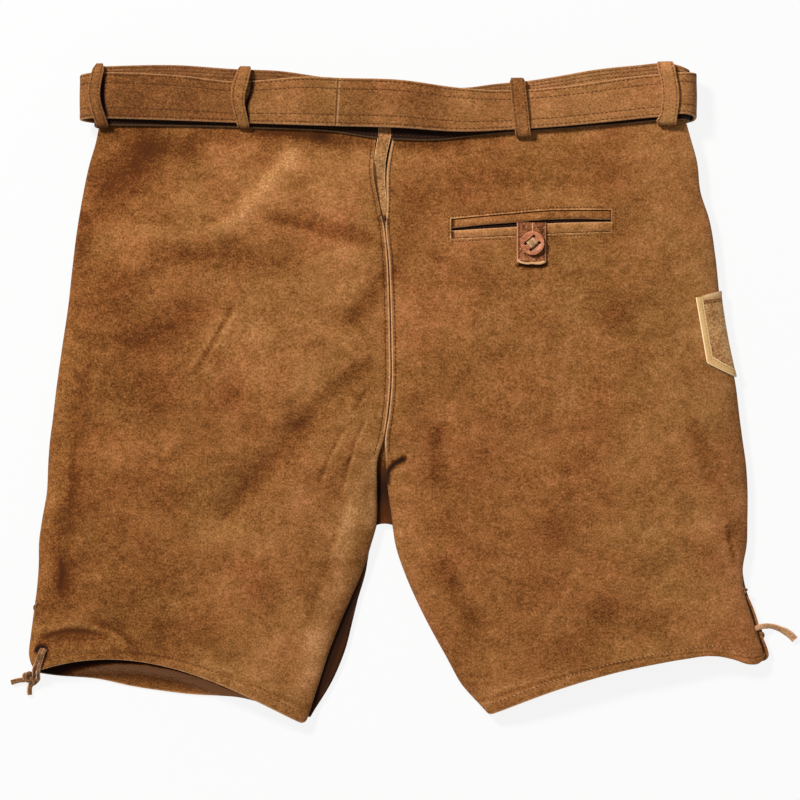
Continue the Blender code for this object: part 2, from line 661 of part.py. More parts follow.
# ---------------------------------------------------------------- belt loops
Loop = namedtuple("Loop", "name top_x mid_x low_x top_y low_y wide")
BACK_LOOPS = [
    Loop("back_loop_1", -229.5, -232.0, -226.4, 252.2, 202.0, 9.8),
    Loop("back_loop_2", -117.4, -123.2, -118.6, 250.0, 199.8, 10.6),
    Loop("back_loop_3", 91.6, 93.9, 96.5, 241.2, 196.0, 12.2),
    Loop("back_loop_4", 205.1, 209.8, 208.3, 253.7, 203.7, 12.6),
]
FRONT_LOOPS = [
    Loop("front_loop_left", -132.0, -132.0, -132.0, 248.0, 196.4, 12.0),
    Loop("front_loop_right", 140.0, 140.0, 140.0, 245.0, 198.4, 12.0),
]


def loop_profile(loop, band_z, loop_z, end_z):
    """The middle line (y, z) of a loop: over the waistband's top edge, the belt, and down again."""
    out = 1 if loop_z > band_z else -1
    top, low = loop.top_y - LOOP / 2, loop.low_y + LOOP / 2
    steps = [(top, band_z - out), (top, loop_z - out * 1.5), (top - 1.4, loop_z - out * 0.2),
             (top - 4.0, loop_z)]
    steps += [(lerp(top - 4.0, low + 4.0, t), loop_z) for t in (0.35, 0.7, 1.0)]
    steps += [(low + 1.4, loop_z - out * 0.2), (low, loop_z - out * 1.5), (low, end_z)]
    return steps


def loop_rows(loop, profile):
    """Both edges of a loop, leaning as its three centre points say."""
    middle_y = (loop.top_y + loop.low_y) / 2
    lean = [(loop.low_y, loop.low_x), (middle_y, loop.mid_x), (loop.top_y, loop.top_x)]
    rows = []
    for y, z in profile:
        x = along(lean, y)
        rows.append([(x - loop.wide / 2, y, z), (x + loop.wide / 2, y, z)])
    return rows


for loop in BACK_LOOPS:
    edges = (loop.low_x - loop.wide / 2, loop.low_x, loop.low_x + loop.wide / 2)
    seat = max(rest_height(x, loop.low_y + shift) for x in edges for shift in (0.0, LOOP))
    profile = loop_profile(loop, BAND_BACK_Z, LOOP_BACK_Z, seat + GAP)
    sheet(loop.name, loop_rows(loop, profile), LOOP, "suede", offset=0.0)
for loop in FRONT_LOOPS:
    seat = front_underside(loop.low_x, loop.low_y)
    profile = loop_profile(loop, BAND_FRONT_Z, LOOP_FRONT_Z, seat - GAP)
    sheet(loop.name, loop_rows(loop, profile), LOOP, "suede", up=(0, 0, -1), offset=0.0)

# ---------------------------------------------------------------- front flap
FLAP = [(187.0, 75.0), (169.8, 75.0), (146.3, 75.0), (130.5, 75.0), (101.3, 74.0), (70.5, 72.0),
        (35.8, 69.0), (12.0, 64.0), (3.0, 52.0)]
FLAP_BUTTON = (62.0, 178.0)


def flap_rows():
    """The lower face of the flap, which lies under the front panels."""
    rows = []
    for y, half in FLAP:
        places = [CENTRE_X + half * share for share in (-1.0, -0.5, 0.0, 0.5, 1.0)]
        low = min(front_underside(x, y + dy) for x in places for dy in (-3, 3))
        rows.append([(x, y, max(0.0, low - GAP - SUEDE)) for x in places])
    return rows


FLAP_ROWS = flap_rows()
sheet("front_flap", FLAP_ROWS, SUEDE, "suede", up=(0, 0, -1))


def disc(name, radius, height, round_off, finish):
    """A flat button with round edges, standing on the origin."""
    bm = bmesh.new()
    bmesh.ops.create_cone(bm, cap_ends=True, segments=28, radius1=radius * MM, radius2=radius * MM,
                          depth=height * MM)
    bmesh.ops.translate(bm, verts=bm.verts, vec=(0, 0, height / 2 * MM))
    mesh = bpy.data.meshes.new(name)
    bm.to_mesh(mesh)
    bm.free()
    mesh.shade_smooth()
    mesh.set_sharp_from_angle(angle=math.radians(40))
    obj = add_object(name, mesh, finish)
    bevel = obj.modifiers.new("round", "BEVEL")
    bevel.width = round_off * MM
    bevel.segments = 2
    bevel.limit_method = "ANGLE"
    return obj


for side, across in (("left", -1), ("right", 1)):
    x, y = CENTRE_X + across * FLAP_BUTTON[0], FLAP_BUTTON[1]
    seat = along(sorted((row[0][1], row[0][2]) for row in FLAP_ROWS), y - 8.0)
    button = disc("flap_button_" + side, 8.0, 2.4, 0.6, "horn")
    button.location = Vector((x, y, seat - GAP - 2.4)) * MM

# ---------------------------------------------------------------- back welt pocket
# across the pocket: the window's top edge, the slit's two edges and the window's lower edge
POCKET = [
    (41.1, 132.6, 125.4, 123.7, 117.5),
    (66.0, 135.0, 128.2, 125.3, 118.8),
    (92.0, 137.3, 130.2, 126.9, 120.0),
    (114.0, 139.2, 131.6, 129.0, 121.2),
    (140.0, 139.6, 132.0, 130.2, 122.2),
    (165.4, 139.6, 132.0, 130.6, 122.9),
]
WELT = 1.2           # thickness of the welts
LIP = 0.6            # how far the lower welt's edge stands up
WELT_SUNK = 0.4      # how far the upper welt lies under the panel's face
WINDOW_GAP = 0.36    # clearance between the welts and the window's edge
RIGHT_TREE = TREES["right"]


def pocket_window():
    """Cut the pocket's window out of the right back panel."""
    outline = [(x, low) for x, _, _, _, low in POCKET]
    outline += [(x, top) for x, top, _, _, _ in reversed(POCKET)]
    cut(back_right, cutter("pocket_window", prism("pocket_window", outline, 10.0, 40.0)))


def welt(name, upper):
    """One strip of leather inside the window, on one side of the slit."""
    edge, lip = [], []
    for number, (x, top, slit_top, slit_low, low) in enumerate(POCKET):
        if number == 0:
            x += WINDOW_GAP
        if number == len(POCKET) - 1:
            x -= WINDOW_GAP
        if upper:
            edge.append(drop(RIGHT_TREE, x, top - WINDOW_GAP, -WELT_SUNK))
            lip.append(drop(RIGHT_TREE, x, slit_top, -WELT_SUNK))
        else:
            edge.append(drop(RIGHT_TREE, x, low + WINDOW_GAP, 0.0))
            lip.append(drop(RIGHT_TREE, x, slit_low, LIP))
    middle = [tuple(lerp(a, b, 0.5) for a, b in zip(*pair)) for pair in zip(edge, lip)]
    sheet(name, [edge, middle, lip], WELT, "suede")


pocket_window()
welt("pocket_welt_upper", True)
welt("pocket_welt_lower", False)

BAG_DEPTH = 60.0
BAG_X = [38.0, 66.0, 92.0, 114.0, 140.0, 168.0]


def pocket_bag():
    """The first layer of the pocket, close behind the opening."""
    rows = []
    for share in (0.0, 0.25, 0.5, 0.75, 1.0):
        row = []
        for x in BAG_X:
            y = along([(p[0], p[1]) for p in POCKET], x) + 5.0 - share * BAG_DEPTH
            row.append(drop(RIGHT_TREE, x, y, -SUEDE - GAP - 0.5))
        rows.append(row)
    sheet("pocket_bag", rows, 1.0, "suede")


pocket_bag()

TAB_WIDE, TAB_X = 22.4, 102.6
TAB = 1.8
# along the tab: y, lift of its lower face over the panel
TAB_LIFT = [(98.4, 0.4), (105.0, 0.4), (112.0, 0.5), (117.5, 0.6), (121.5, 0.75), (126.0, 1.05),
            (130.0, 1.2)]


def pocket_tab():
    """The leather tab that comes out of the slit and takes the button."""
    rows = []
    for y, lift in TAB_LIFT:
        across = [TAB_X + TAB_WIDE * share for share in (-0.5, 0.0, 0.5)]
        rows.append([drop(RIGHT_TREE, x, y, lift + TAB) for x in across])
    sheet("pocket_tab", rows, TAB, "tab")


pocket_tab()

BUTTON_R, BUTTON_HIGH = 9.6, 3.2
BUTTON_LIFT = 1.15   # over the top of the tab, which bows under it
BUTTON_XY = (103.2, 114.0)
SLOT_TURN = math.radians(39)
SLOT_APART, SLOT_LONG, SLOT_WIDE = 6.3, 10.8, 1.6
THONG, THONG_WIDE = 0.8, 6.4


def button_seat():
    """The place and lean of the button, on the tab."""
    x, y = BUTTON_XY
    seat = Vector(drop(RIGHT_TREE, x, y, TAB + BUTTON_LIFT))
    ahead = Vector(drop(RIGHT_TREE, x, y + 8)) - Vector(drop(RIGHT_TREE, x, y - 8))
    beside = Vector(drop(RIGHT_TREE, x + 8, y)) - Vector(drop(RIGHT_TREE, x - 8, y))
    lean = beside.cross(ahead).to_track_quat("Z", "Y").to_matrix().to_4x4()
    return Matrix.Translation(seat * MM) @ lean @ Matrix.Rotation(SLOT_TURN, 4, "Z")


def pocket_button():
    """The button, with two slots for its thong."""
    place = button_seat()
    button = disc("pocket_button", BUTTON_R, BUTTON_HIGH, 0.8, "horn")
    button.matrix_world = place
    for number, y in enumerate((-SLOT_APART / 2, SLOT_APART / 2)):
        box = [(-SLOT_LONG / 2, y - SLOT_WIDE / 2), (SLOT_LONG / 2, y - SLOT_WIDE / 2),
               (SLOT_LONG / 2, y + SLOT_WIDE / 2), (-SLOT_LONG / 2, y + SLOT_WIDE / 2)]
        name = "button_slot_" + str(number)
        tool = cutter(name, prism(name, box, -2.0, BUTTON_HIGH + 2.0))
        tool.matrix_world = place
        cut(button, tool)
    top = BUTTON_HIGH + GAP + THONG / 2
    half = SLOT_APART / 2
    shoulder = [(0.0, GAP), (0.0, top - 0.7), (0.5, top - 0.1), (1.2, top + 0.1)]
    profile = [(y - half, z) for y, z in shoulder] + [(0.0, top + 0.2)]
    profile += [(half - y, z) for y, z in reversed(shoulder)]
    rows = [[(-THONG_WIDE / 2, y, z), (THONG_WIDE / 2, y, z)] for y, z in profile]
    thong = sheet("button_thong", rows, THONG, "pale_suede", offset=0.0)
    thong.matrix_world = place


pocket_button()

# ---------------------------------------------------------------- knife pocket
KNIFE_TOP_LEFT, KNIFE_TOP_RIGHT = (228.9, 72.5), (247.8, 77.6)
KNIFE_LOW_LEFT, KNIFE_LOW_RIGHT = (237.5, 22.3), (259.3, 10.5)
BINDING_WIDE = 4.0
POCKET_LIFT = 0.55    # over the panel, whose facets it spans
POCKET_WALL = 1.3
SIDE_COLUMNS = [19, 20, 21, 22]


def on_column(rows, column, y):
    """The point of a panel at y on one of its columns, which may lie between two."""
    whole = min(int(column), COLUMNS - 1)
    part = column - whole
    for upper, lower in zip(rows, rows[1:]):
        high = [lerp(upper[whole][i], upper[whole + 1][i], part) for i in range(3)]
        deep = [lerp(lower[whole][i], lower[whole + 1][i], part) for i in range(3)]
        if deep[1] <= y <= high[1]:
            t = (high[1] - y) / (high[1] - deep[1])
            return Vector([lerp(high[i], deep[i], t) for i in range(3)])
    return Vector(deep)


def column_near(rows, x, y):
    """The column that lies at (x, y), as a share between two columns."""
    for column in range(COLUMNS):
        near, far = on_column(rows, column, y).x, on_column(rows, column + 1, y).x
        if min(near, far) <= x <= max(near, far):
            return column + (x - near) / (far - near)
    return float(COLUMNS)


def lifted(rows, column, y, lift):
    """A point moved out from a panel, square to its face there."""
    here = on_column(rows, column, y)
    step = 0.25 if column < COLUMNS - 0.5 else -0.25
    beside = (on_column(rows, column + step, y) - here) * (1 if step > 0 else -1)
    ahead = on_column(rows, column, y + 4.0) - on_column(rows, column, y - 4.0)
    normal = beside.cross(ahead).normalized()
    return tuple(here + normal * (lift if normal.z >= 0 else -lift))


def line_y(start, end, x):
    """The height in Y of a straight line at x."""
    return lerp(start[1], end[1], (x - start[0]) / (end[0] - start[0]))


def knife_binding():
    """The pale binding down the back edge and along the lower edge of the pocket."""
    rows = []
    for share in (0.0, 0.33, 0.66):
        x = lerp(KNIFE_TOP_LEFT[0], KNIFE_LOW_LEFT[0], share)
        y = lerp(KNIFE_TOP_LEFT[1], KNIFE_LOW_LEFT[1], share)
        rows.append([(x, y), (x + BINDING_WIDE, y + 0.6 * (1 - share))])
    corner_x, corner_y = KNIFE_LOW_LEFT
    rows.append([(corner_x, corner_y), (corner_x + 3.6, corner_y + 2.6)])
    placed = []
    for row in rows:
        placed.append([lifted(RIGHT_BACK, column_near(RIGHT_BACK, x, y), y, POCKET_LIFT) for x, y in row])
    for column in SIDE_COLUMNS:
        x = on_column(RIGHT_BACK, column, 16.0).x
        low = line_y(KNIFE_LOW_LEFT, KNIFE_LOW_RIGHT, x)
        placed.append([lifted(RIGHT_BACK, column, low, POCKET_LIFT),
                       lifted(RIGHT_BACK, column, low + BINDING_WIDE * 1.12, POCKET_LIFT)])
    sheet("knife_binding", placed, POCKET_WALL + 0.3, "binding", offset=1.0)


def knife_pocket():
    """The pocket's own panel, inside its binding."""
    inset = BINDING_WIDE + GAP * 1.5
    top_left = (KNIFE_TOP_LEFT[0] + inset, KNIFE_TOP_LEFT[1])
    low_left = (KNIFE_LOW_LEFT[0] + inset, KNIFE_LOW_LEFT[1])
    placed = []
    for share in (0.0, 0.25, 0.5, 0.75, 1.0):
        row = []
        for column in [None] + SIDE_COLUMNS:
            if column is None:
                x = lerp(top_left[0], low_left[0] - 0.6, share)
                y = lerp(top_left[1], line_y(KNIFE_LOW_LEFT, KNIFE_LOW_RIGHT, x) + inset * 1.16, share)
                column = column_near(RIGHT_BACK, x, y)
            else:
                x = on_column(RIGHT_BACK, column, 45.0).x
                high = line_y(KNIFE_TOP_LEFT, KNIFE_TOP_RIGHT, min(x, KNIFE_TOP_RIGHT[0]))
                x = on_column(RIGHT_BACK, column, 16.0).x
                y = lerp(high, line_y(KNIFE_LOW_LEFT, KNIFE_LOW_RIGHT, x) + inset * 1.16, share)
            row.append(lifted(RIGHT_BACK, column, y, POCKET_LIFT))
        placed.append(row)
    sheet("knife_pocket", placed, POCKET_WALL, "pale_suede", offset=1.0)


knife_binding()
knife_pocket()

# ---------------------------------------------------------------- laces
LACE_R = 1.8
# routes from the garment to the free end
LACE_LEFT_LONG = [(-274.3, -199.8), (-276.2, -205.5), (-278.2, -211.5), (-279.6, -217.5)]
LACE_LEFT_END = [(-280.8, -221.2, 8.2), (-281.6, -225.6, 4.6), (-283.0, -230.6, 2.3), (-285.6, -236.0, 1.9)]
LACE_LEFT_SHORT = [(-268.2, -220.6, 1.9), (-273.0, -221.5, 2.1), (-278.5, -221.9, 2.4),
                   (-284.0, -221.6, 2.2), (-291.0, -222.2, 1.9), (-299.6, -225.4, 1.9)]
LACE_RIGHT = [(278.3, -182.6, 7.2), (280.9, -180.6, 6.2), (284.0, -179.6, 4.6), (288.4, -180.0, 3.2),
              (293.6, -181.9, 2.3), (299.0, -184.6, 1.9), (303.4, -187.8, 1.9), (307.4, -192.2, 1.9)]


def smooth_route(points, spacing):
    """Points spaced along a smooth curve through the given ones."""
    points = [Vector(point) for point in points]
    ends = [points[0] * 2 - points[1]] + points + [points[-1] * 2 - points[-2]]
    fine = []
    for a, b, c, d in zip(ends, ends[1:], ends[2:], ends[3:]):
        for i in range(16):
            t = i / 16
            fine.append(0.5 * ((2 * b) + (c - a) * t + (2 * a - 5 * b + 4 * c - d) * t * t
                               + (3 * b - a - 3 * c + d) * t ** 3))
    fine.append(points[-1])
    length = sum((q - p).length for p, q in zip(fine, fine[1:]))
    count = max(2, round(length / spacing))
    route, run, wanted = [fine[0]], 0.0, length / count
    for p, q in zip(fine, fine[1:]):
        run += (q - p).length
        if run >= wanted * len(route) and len(route) < count:
            route.append(q)
    return route + [fine[-1]]


LEFT_TREE = TREES["left"]
left_over = [drop(LEFT_TREE, x, y, LACE_R * 1.25 + GAP) for x, y in LACE_LEFT_LONG[:3]]
hem_x, hem_y = LACE_LEFT_LONG[3]
left_over.append((hem_x, hem_y, left_over[-1][2] - 1.2))
tube("lace_left_long", smooth_route(left_over + LACE_LEFT_END, 4.0), LACE_R, "lace")
tube("lace_left_short", smooth_route(LACE_LEFT_SHORT, 4.0), LACE_R, "lace")
tube("lace_right", smooth_route(LACE_RIGHT, 4.0), LACE_R, "lace")


def knot(name, place, size, finish):
    """A small round knot of lace."""
    bm = bmesh.new()
    bmesh.ops.create_icosphere(bm, subdivisions=2, radius=MM)
    bmesh.ops.scale(bm, verts=bm.verts, vec=size)
    mesh = bpy.data.meshes.new(name)
    bm.to_mesh(mesh)
    bm.free()
    mesh.shade_smooth()
    obj = add_object(name, mesh, finish)
    obj.location = Vector(place) * MM
    return obj


def wrapped_knot(name, at, ahead, bore, thick, finish):
    """A turn of lace tied round a strand at one place, square to the strand."""
    facing = (Vector(ahead) - Vector(at)).to_track_quat("Z", "Y")
    bpy.ops.mesh.primitive_torus_add(
        major_segments=14, minor_segments=8, major_radius=(bore + thick) * MM, minor_radius=thick * MM,
        location=Vector(at) * MM, rotation=facing.to_euler())
    obj = bpy.context.object
    obj.name = name
    obj.data.name = name
    for holder in list(obj.users_collection):
        holder.objects.unlink(obj)
    lederhosen.objects.link(obj)
    obj.data.materials.append(MATERIALS[finish])
    obj.data.shade_smooth()


wrapped_knot("lace_left_knot", LACE_LEFT_END[0], LACE_LEFT_END[1], LACE_R + GAP, 1.1, "lace")
knot("lace_right_knot", (280.95, -188.4, 3.0), (2.1, 3.4, 2.1), "lace")
knot("vent_knot_left", lifted(LEFT_BACK, 21.0, -166.0, 2.6), (2.0, 2.2, 2.0), "lace")
knot("vent_knot_right", lifted(RIGHT_BACK, 21.0, -153.6, 2.6), (2.2, 2.6, 2.2), "lace")
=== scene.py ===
"""Short suede lederhosen, laid flat on their front with the back up and the waist towards +Y.

Tables are in millimetres, as the pattern pieces are measured. Finished meshes are in metres.
"""

import math
from collections import namedtuple

import bmesh
import bpy
import numpy as np
from mathutils import Matrix, Vector
from mathutils.bvhtree import BVHTree


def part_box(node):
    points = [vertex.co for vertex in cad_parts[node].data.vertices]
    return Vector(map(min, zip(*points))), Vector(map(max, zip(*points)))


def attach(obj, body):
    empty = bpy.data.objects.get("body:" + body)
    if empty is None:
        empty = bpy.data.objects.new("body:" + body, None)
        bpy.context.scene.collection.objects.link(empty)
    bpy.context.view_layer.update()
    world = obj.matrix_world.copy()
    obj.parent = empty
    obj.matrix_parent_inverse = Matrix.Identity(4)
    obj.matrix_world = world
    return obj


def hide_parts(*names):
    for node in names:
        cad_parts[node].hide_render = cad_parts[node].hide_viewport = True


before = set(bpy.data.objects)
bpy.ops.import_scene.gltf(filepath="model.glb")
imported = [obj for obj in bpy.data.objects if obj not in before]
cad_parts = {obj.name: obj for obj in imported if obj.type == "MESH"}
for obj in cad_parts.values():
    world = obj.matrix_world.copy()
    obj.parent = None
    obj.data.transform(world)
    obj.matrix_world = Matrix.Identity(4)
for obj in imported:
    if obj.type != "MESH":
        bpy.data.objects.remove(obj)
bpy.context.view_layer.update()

MM = 0.001

# ---------------------------------------------------------------- camera, floor and light
# The garment lies on a plain white table and is seen straight from above, through a long lens.
# One wide soft light stands at the upper left, over a pale even surround.
LENS = 300.0
CAMERA_PLACE = (0.0015, -0.0065, 5.153)
FLOOR_SIZE, FLOOR_DROP, FLOOR_GLOW = 12.0, 0.0004, 0.877
KEY_PLACE, KEY_SIZE, KEY_POWER = Vector((-2.3, 2.6, 3.4)), 0.95, 300.0
SURROUND_GLOW = 0.36


def connect(socket, value):
    """Feed an input with a value or from another node's socket."""
    if isinstance(value, bpy.types.NodeSocket):
        socket.id_data.links.new(value, socket)
    else:
        socket.default_value = value


def set_sockets(node, **values):
    """Feed a node's inputs by name."""
    for name, value in values.items():
        connect(node.inputs[name.replace("_", " ")], value)


camera_data = bpy.data.cameras.new("camera")
camera_data.lens = LENS
camera_data.sensor_width = 36.0
camera_data.clip_end = 20.0
camera = bpy.data.objects.new("camera", camera_data)
camera.location = CAMERA_PLACE
bpy.context.scene.collection.objects.link(camera)
bpy.context.scene.camera = camera
bpy.context.scene.view_settings.view_transform = "Standard"

bpy.ops.object.select_all(action="DESELECT")
bpy.ops.mesh.primitive_plane_add(size=FLOOR_SIZE, location=(0, 0, -FLOOR_DROP))
floor = bpy.context.object
floor.name = "floor"
floor_paint = bpy.data.materials.new("floor_paint")
floor_paint.use_nodes = True
set_sockets(floor_paint.node_tree.nodes["Principled BSDF"], Base_Color=(0.08, 0.08, 0.08, 1.0),
            Roughness=1.0, Specular_IOR_Level=0.0, Emission_Color=(1.0, 1.0, 1.0, 1.0),
            Emission_Strength=FLOOR_GLOW)
floor.data.materials.append(floor_paint)

key_data = bpy.data.lights.new("key", "AREA")
key_data.shape = "DISK"
key_data.size = KEY_SIZE
key_data.energy = KEY_POWER
key_data.color = (1.0, 0.985, 0.96)
key = bpy.data.objects.new("key", key_data)
key.location = KEY_PLACE
key.rotation_euler = KEY_PLACE.to_track_quat("Z", "Y").to_euler()
bpy.context.scene.collection.objects.link(key)
world = bpy.data.worlds.new("surround")
world.use_nodes = True
set_sockets(world.node_tree.nodes["Background"], Color=(0.97, 0.985, 1.0, 1.0), Strength=SURROUND_GLOW)
bpy.context.scene.world = world

# ---------------------------------------------------------------- laces
# Soft leather laces close the side vents. They are cut from the same hide, so they show a
# pale cut edge down each side; each comes out of an eyelet by the hem and ends bare.
LACE_WIDE, LACE_THICK, RIGHT_LACE_WIDE = 3.0, 2.2, 4.2
LACE_LEFT_LONG = [(-272.2, -198.9, 14.0), (-273.0, -200.6, 16.0), (-275.3, -207.5, 15.0),
                  (-277.0, -212.9, 13.8), (-277.5, -216.6, 12.0), (-277.6, -219.4, 8.2),
                  (-278.0, -222.0, 4.6), (-280.6, -224.6, 3.4), (-283.6, -226.4, 2.8),
                  (-284.8, -229.4, 2.1), (-284.9, -232.0, 1.8), (-284.6, -234.4, 1.8)]
LACE_LEFT_SHORT = [(-274.6, -198.6, 13.4), (-275.2, -200.2, 15.2), (-278.4, -208.3, 13.8),
                   (-280.6, -213.6, 11.4), (-281.0, -217.4, 8.2), (-281.2, -220.6, 4.4),
                   (-283.6, -222.2, 2.6), (-287.6, -222.6, 2.0), (-292.6, -223.0, 1.8),
                   (-299.0, -224.8, 1.8)]
LACE_RIGHT = [(272.6, -184.6, 6.6), (276.6, -182.6, 6.9), (280.4, -181.4, 6.0), (284.0, -181.0, 4.6),
              (288.4, -181.2, 3.2), (293.6, -182.7, 2.3), (299.0, -185.2, 1.9), (303.4, -188.2, 1.9),
              (306.6, -191.6, 1.9)]


def screen(red, green, blue):
    """A colour from its 0 to 255 screen values."""
    return (*(((c / 255 + 0.055) / 1.055) ** 2.4 for c in (red, green, blue)), 1.0)


def new_material(name):
    """A material, its node tree, its shader and the socket that tells the place on a piece."""
    material = bpy.data.materials.new(name)
    material.use_nodes = True
    tree = material.node_tree
    place = tree.nodes.new("ShaderNodeTexCoord").outputs["Object"]
    return material, tree, tree.nodes["Principled BSDF"], place


def add_node(tree, kind, **sockets):
    """A shader node with inputs set by name."""
    node = tree.nodes.new("ShaderNode" + kind)
    set_sockets(node, **sockets)
    return node


def maths(tree, operation, *inputs, clamp=False):
    """Arithmetic on sockets and numbers."""
    node = tree.nodes.new("ShaderNodeMath")
    node.operation = operation
    node.use_clamp = clamp
    for socket, value in zip(node.inputs, inputs):
        connect(socket, value)
    return node.outputs[0]


def summed(tree, start, terms):
    """start plus gain times (socket - 0.5), for each (socket, gain)."""
    total = start - sum(gain for _, gain in terms) / 2
    for socket, gain in terms:
        total = maths(tree, "MULTIPLY_ADD", socket, gain, total)
    return total


def cloud(tree, vector, size, detail=3.0, roughness=0.6, warp=0.0):
    """Noise whose patches are about size millimetres across."""
    return add_node(tree, "TexNoise", Vector=vector, Scale=1000.0 / size, Detail=detail,
                    Roughness=roughness, Distortion=warp).outputs["Fac"]


def attribute(tree, name):
    """A number painted on the points of a piece."""
    node = tree.nodes.new("ShaderNodeAttribute")
    node.attribute_name = name
    return node.outputs["Fac"]


def mixed(tree, factor, a, b, kind="MIX"):
    """Two colours mixed, each a socket or a colour."""
    node = tree.nodes.new("ShaderNodeMix")
    node.data_type = "RGBA"
    node.blend_type = kind
    for number, value in ((0, factor), (6, a), (7, b)):
        connect(node.inputs[number], value)
    return node.outputs[2]


def ramp(tree, factor, places, colours):
    """A colour ramp with a colour at each of its places."""
    node = add_node(tree, "ValToRGB", Fac=factor)
    bands = node.color_ramp.elements
    while len(bands) < len(places):
        bands.new(0.5)
    for band, position, colour in zip(bands, places, colours):
        band.position = position
        band.color = colour
    return node.outputs["Color"]


def suede(name, shades, cut_edge, grain=1.0, patch=1.0, nap=1.0):
    """Brushed hide: speckled nap, soft mottles of oil and wear, drifting hue and pale cut edges.

    shades are five screen colours from the deepest to the most worn. The painted numbers are
    tone (lighter or darker: wear, and in many places painted shade and painted light), warm (redder)
    and cut (how much bare fibre of a cut edge shows). Below a tone of -0.5 the colour sinks further
    towards a near-black brown, which is painted shade.
    """
    material, tree, shader, place = new_material(name)
    brushed = add_node(tree, "Mapping", Vector=place, Rotation=(0.0, 0.0, math.radians(-40)),
                       Scale=(0.55, 1.0, 1.0)).outputs["Vector"]
    speck = cloud(tree, place, 1.35, 1.5)
    fibre = cloud(tree, brushed, 2.4, 2.0)
    fleck = cloud(tree, place, 8.0, 2.0, 0.5)
    streak = cloud(tree, brushed, 20.0, 2.0, 0.5)
    mottle = cloud(tree, place, 42.0, 2.0, 0.5)
    drift = cloud(tree, place, 48.0, 2.0, 0.5)
    value = summed(tree, 0.5, [(speck, 1.1 * grain), (fibre, 0.45 * grain), (fleck, 0.42 * patch),
                               (streak, 0.36 * patch), (mottle, 0.34 * patch)])
    toned = maths(tree, "ADD", value, attribute(tree, "tone"))
    colour = ramp(tree, toned, (0.0, 0.25, 0.50, 0.75, 1.0), [screen(*shade) for shade in shades])
    shift = summed(tree, 0.30, [(drift, 1.6), (fibre, 0.9), (fleck, 0.8)])
    warm = maths(tree, "ADD", shift, attribute(tree, "warm"), clamp=True)
    tint = mixed(tree, warm, (0.97, 1.04, 0.94, 1.0), (1.06, 0.93, 0.94, 1.0))
    colour = mixed(tree, 1.0, colour, tint, "MULTIPLY")
    # painted shade: where the tone falls below -0.5 the colour is mixed towards a near-black brown, for gaps,
    # hollows and cast shadows
    painted_shade = add_node(tree, "MapRange", Value=attribute(tree, "tone"), From_Min=-0.5, From_Max=-1.2)
    colour = mixed(tree, painted_shade.outputs["Result"], colour, PAINTED_SHADE_COLOUR)
    frayed = summed(tree, 1.1, [(speck, 1.6), (fleck, 0.8)])
    bare = maths(tree, "MULTIPLY", attribute(tree, "cut"), frayed, clamp=True)
    colour = mixed(tree, bare, colour, screen(*cut_edge))
    height = summed(tree, 0.5, [(speck, 0.9), (fibre, 0.6), (fleck, 0.3)])
    bump = add_node(tree, "Bump", Strength=0.5 * nap, Distance=0.0005, Height=height)
    set_sockets(shader, Base_Color=colour, Normal=bump.outputs["Normal"], Roughness=0.96,
                Specular_IOR_Level=0.1, Sheen_Weight=0.08, Sheen_Roughness=0.5,
                Sheen_Tint=(1.0, 0.84, 0.66, 1.0))
    return material


# the near-black brown of painted shade, for tones below -0.5
PAINTED_SHADE_COLOUR = screen(32, 15, 9)
LACE_HIDE = suede("lace_hide", [(52, 28, 14), (84, 52, 32), (118, 80, 54), (156, 110, 76), (192, 148, 112)],
                  (205, 160, 124), grain=0.9, patch=0.8)


def mesh_piece(name, points, faces, materials):
    """An object of points in millimetres, smooth but for its sharp edges."""
    mesh = bpy.data.meshes.new(name)
    mesh.from_pydata((np.asarray(points, float) * MM).tolist(), [], faces)
    for material in materials:
        mesh.materials.append(material)
    mesh.validate()
    mesh.shade_smooth()
    piece = bpy.data.objects.new(name, mesh)
    bpy.context.scene.collection.objects.link(piece)
    return piece


def ring_faces(count, around, closed=False):
    """The quads over a row of rings of points, which may run round to its start."""
    faces = []
    for ring in range(count if closed else count - 1):
        ahead = around if ring < count - 1 else -ring * around
        for side in range(around):
            a, b = ring * around + side, ring * around + (side + 1) % around
            faces.append((a, b, b + ahead, a + ahead))
    return faces


def turn_outwards(piece):
    """Turn the faces of a closed piece outwards."""
    bm = bmesh.new()
    bm.from_mesh(piece.data)
    bmesh.ops.recalc_face_normals(bm, faces=bm.faces)
    bm.to_mesh(piece.data)
    bm.free()


def paint(piece, name, values):
    """A number on each point of a piece, which its material reads."""
    layer = piece.data.attributes.get(name) or piece.data.attributes.new(name, "FLOAT", "POINT")
    layer.data.foreach_set("value", np.asarray(values, np.float32).ravel())


def unit(vectors):
    """Directions, made one long."""
    return vectors / np.linalg.norm(vectors, axis=-1, keepdims=True)


def smooth_table(knots, values, at):
    """Values read off a smooth curve through a table, with knots in rising order."""
    knots, values, at = (np.asarray(item, float) for item in (knots, values, at))
    tail = (1,) * (values.ndim - 1)
    gaps = np.diff(knots).reshape((-1,) + tail)
    rates = np.diff(values, axis=0) / gaps
    slopes = np.empty_like(values)
    slopes[1:-1] = (rates[:-1] * gaps[1:] + rates[1:] * gaps[:-1]) / (gaps[1:] + gaps[:-1])
    slopes[0], slopes[-1] = rates[0], rates[-1]
    index = np.clip(np.searchsorted(knots, at, side="right") - 1, 0, len(knots) - 2)
    run = gaps[index].reshape(at.shape + tail)
    t = (at - knots[index]).reshape(at.shape + tail) / run
    return (values[index] * (2 * t**3 - 3 * t**2 + 1) + slopes[index] * run * (t**3 - 2 * t**2 + t)
            + values[index + 1] * (3 * t**2 - 2 * t**3) + slopes[index + 1] * run * (t**3 - t**2))


def arc_knots(points):
    """How far along a route each of its points lies."""
    steps = np.linalg.norm(np.diff(np.asarray(points, float), axis=0), axis=1)
    return np.concatenate([[0.0], np.cumsum(steps)])


def finer_route(points, spacing):
    """A smooth route through points, with a point every spacing millimetres."""
    knots = arc_knots(points)
    return smooth_table(knots, points, np.linspace(0, knots[-1], max(2, round(knots[-1] / spacing)) + 1))


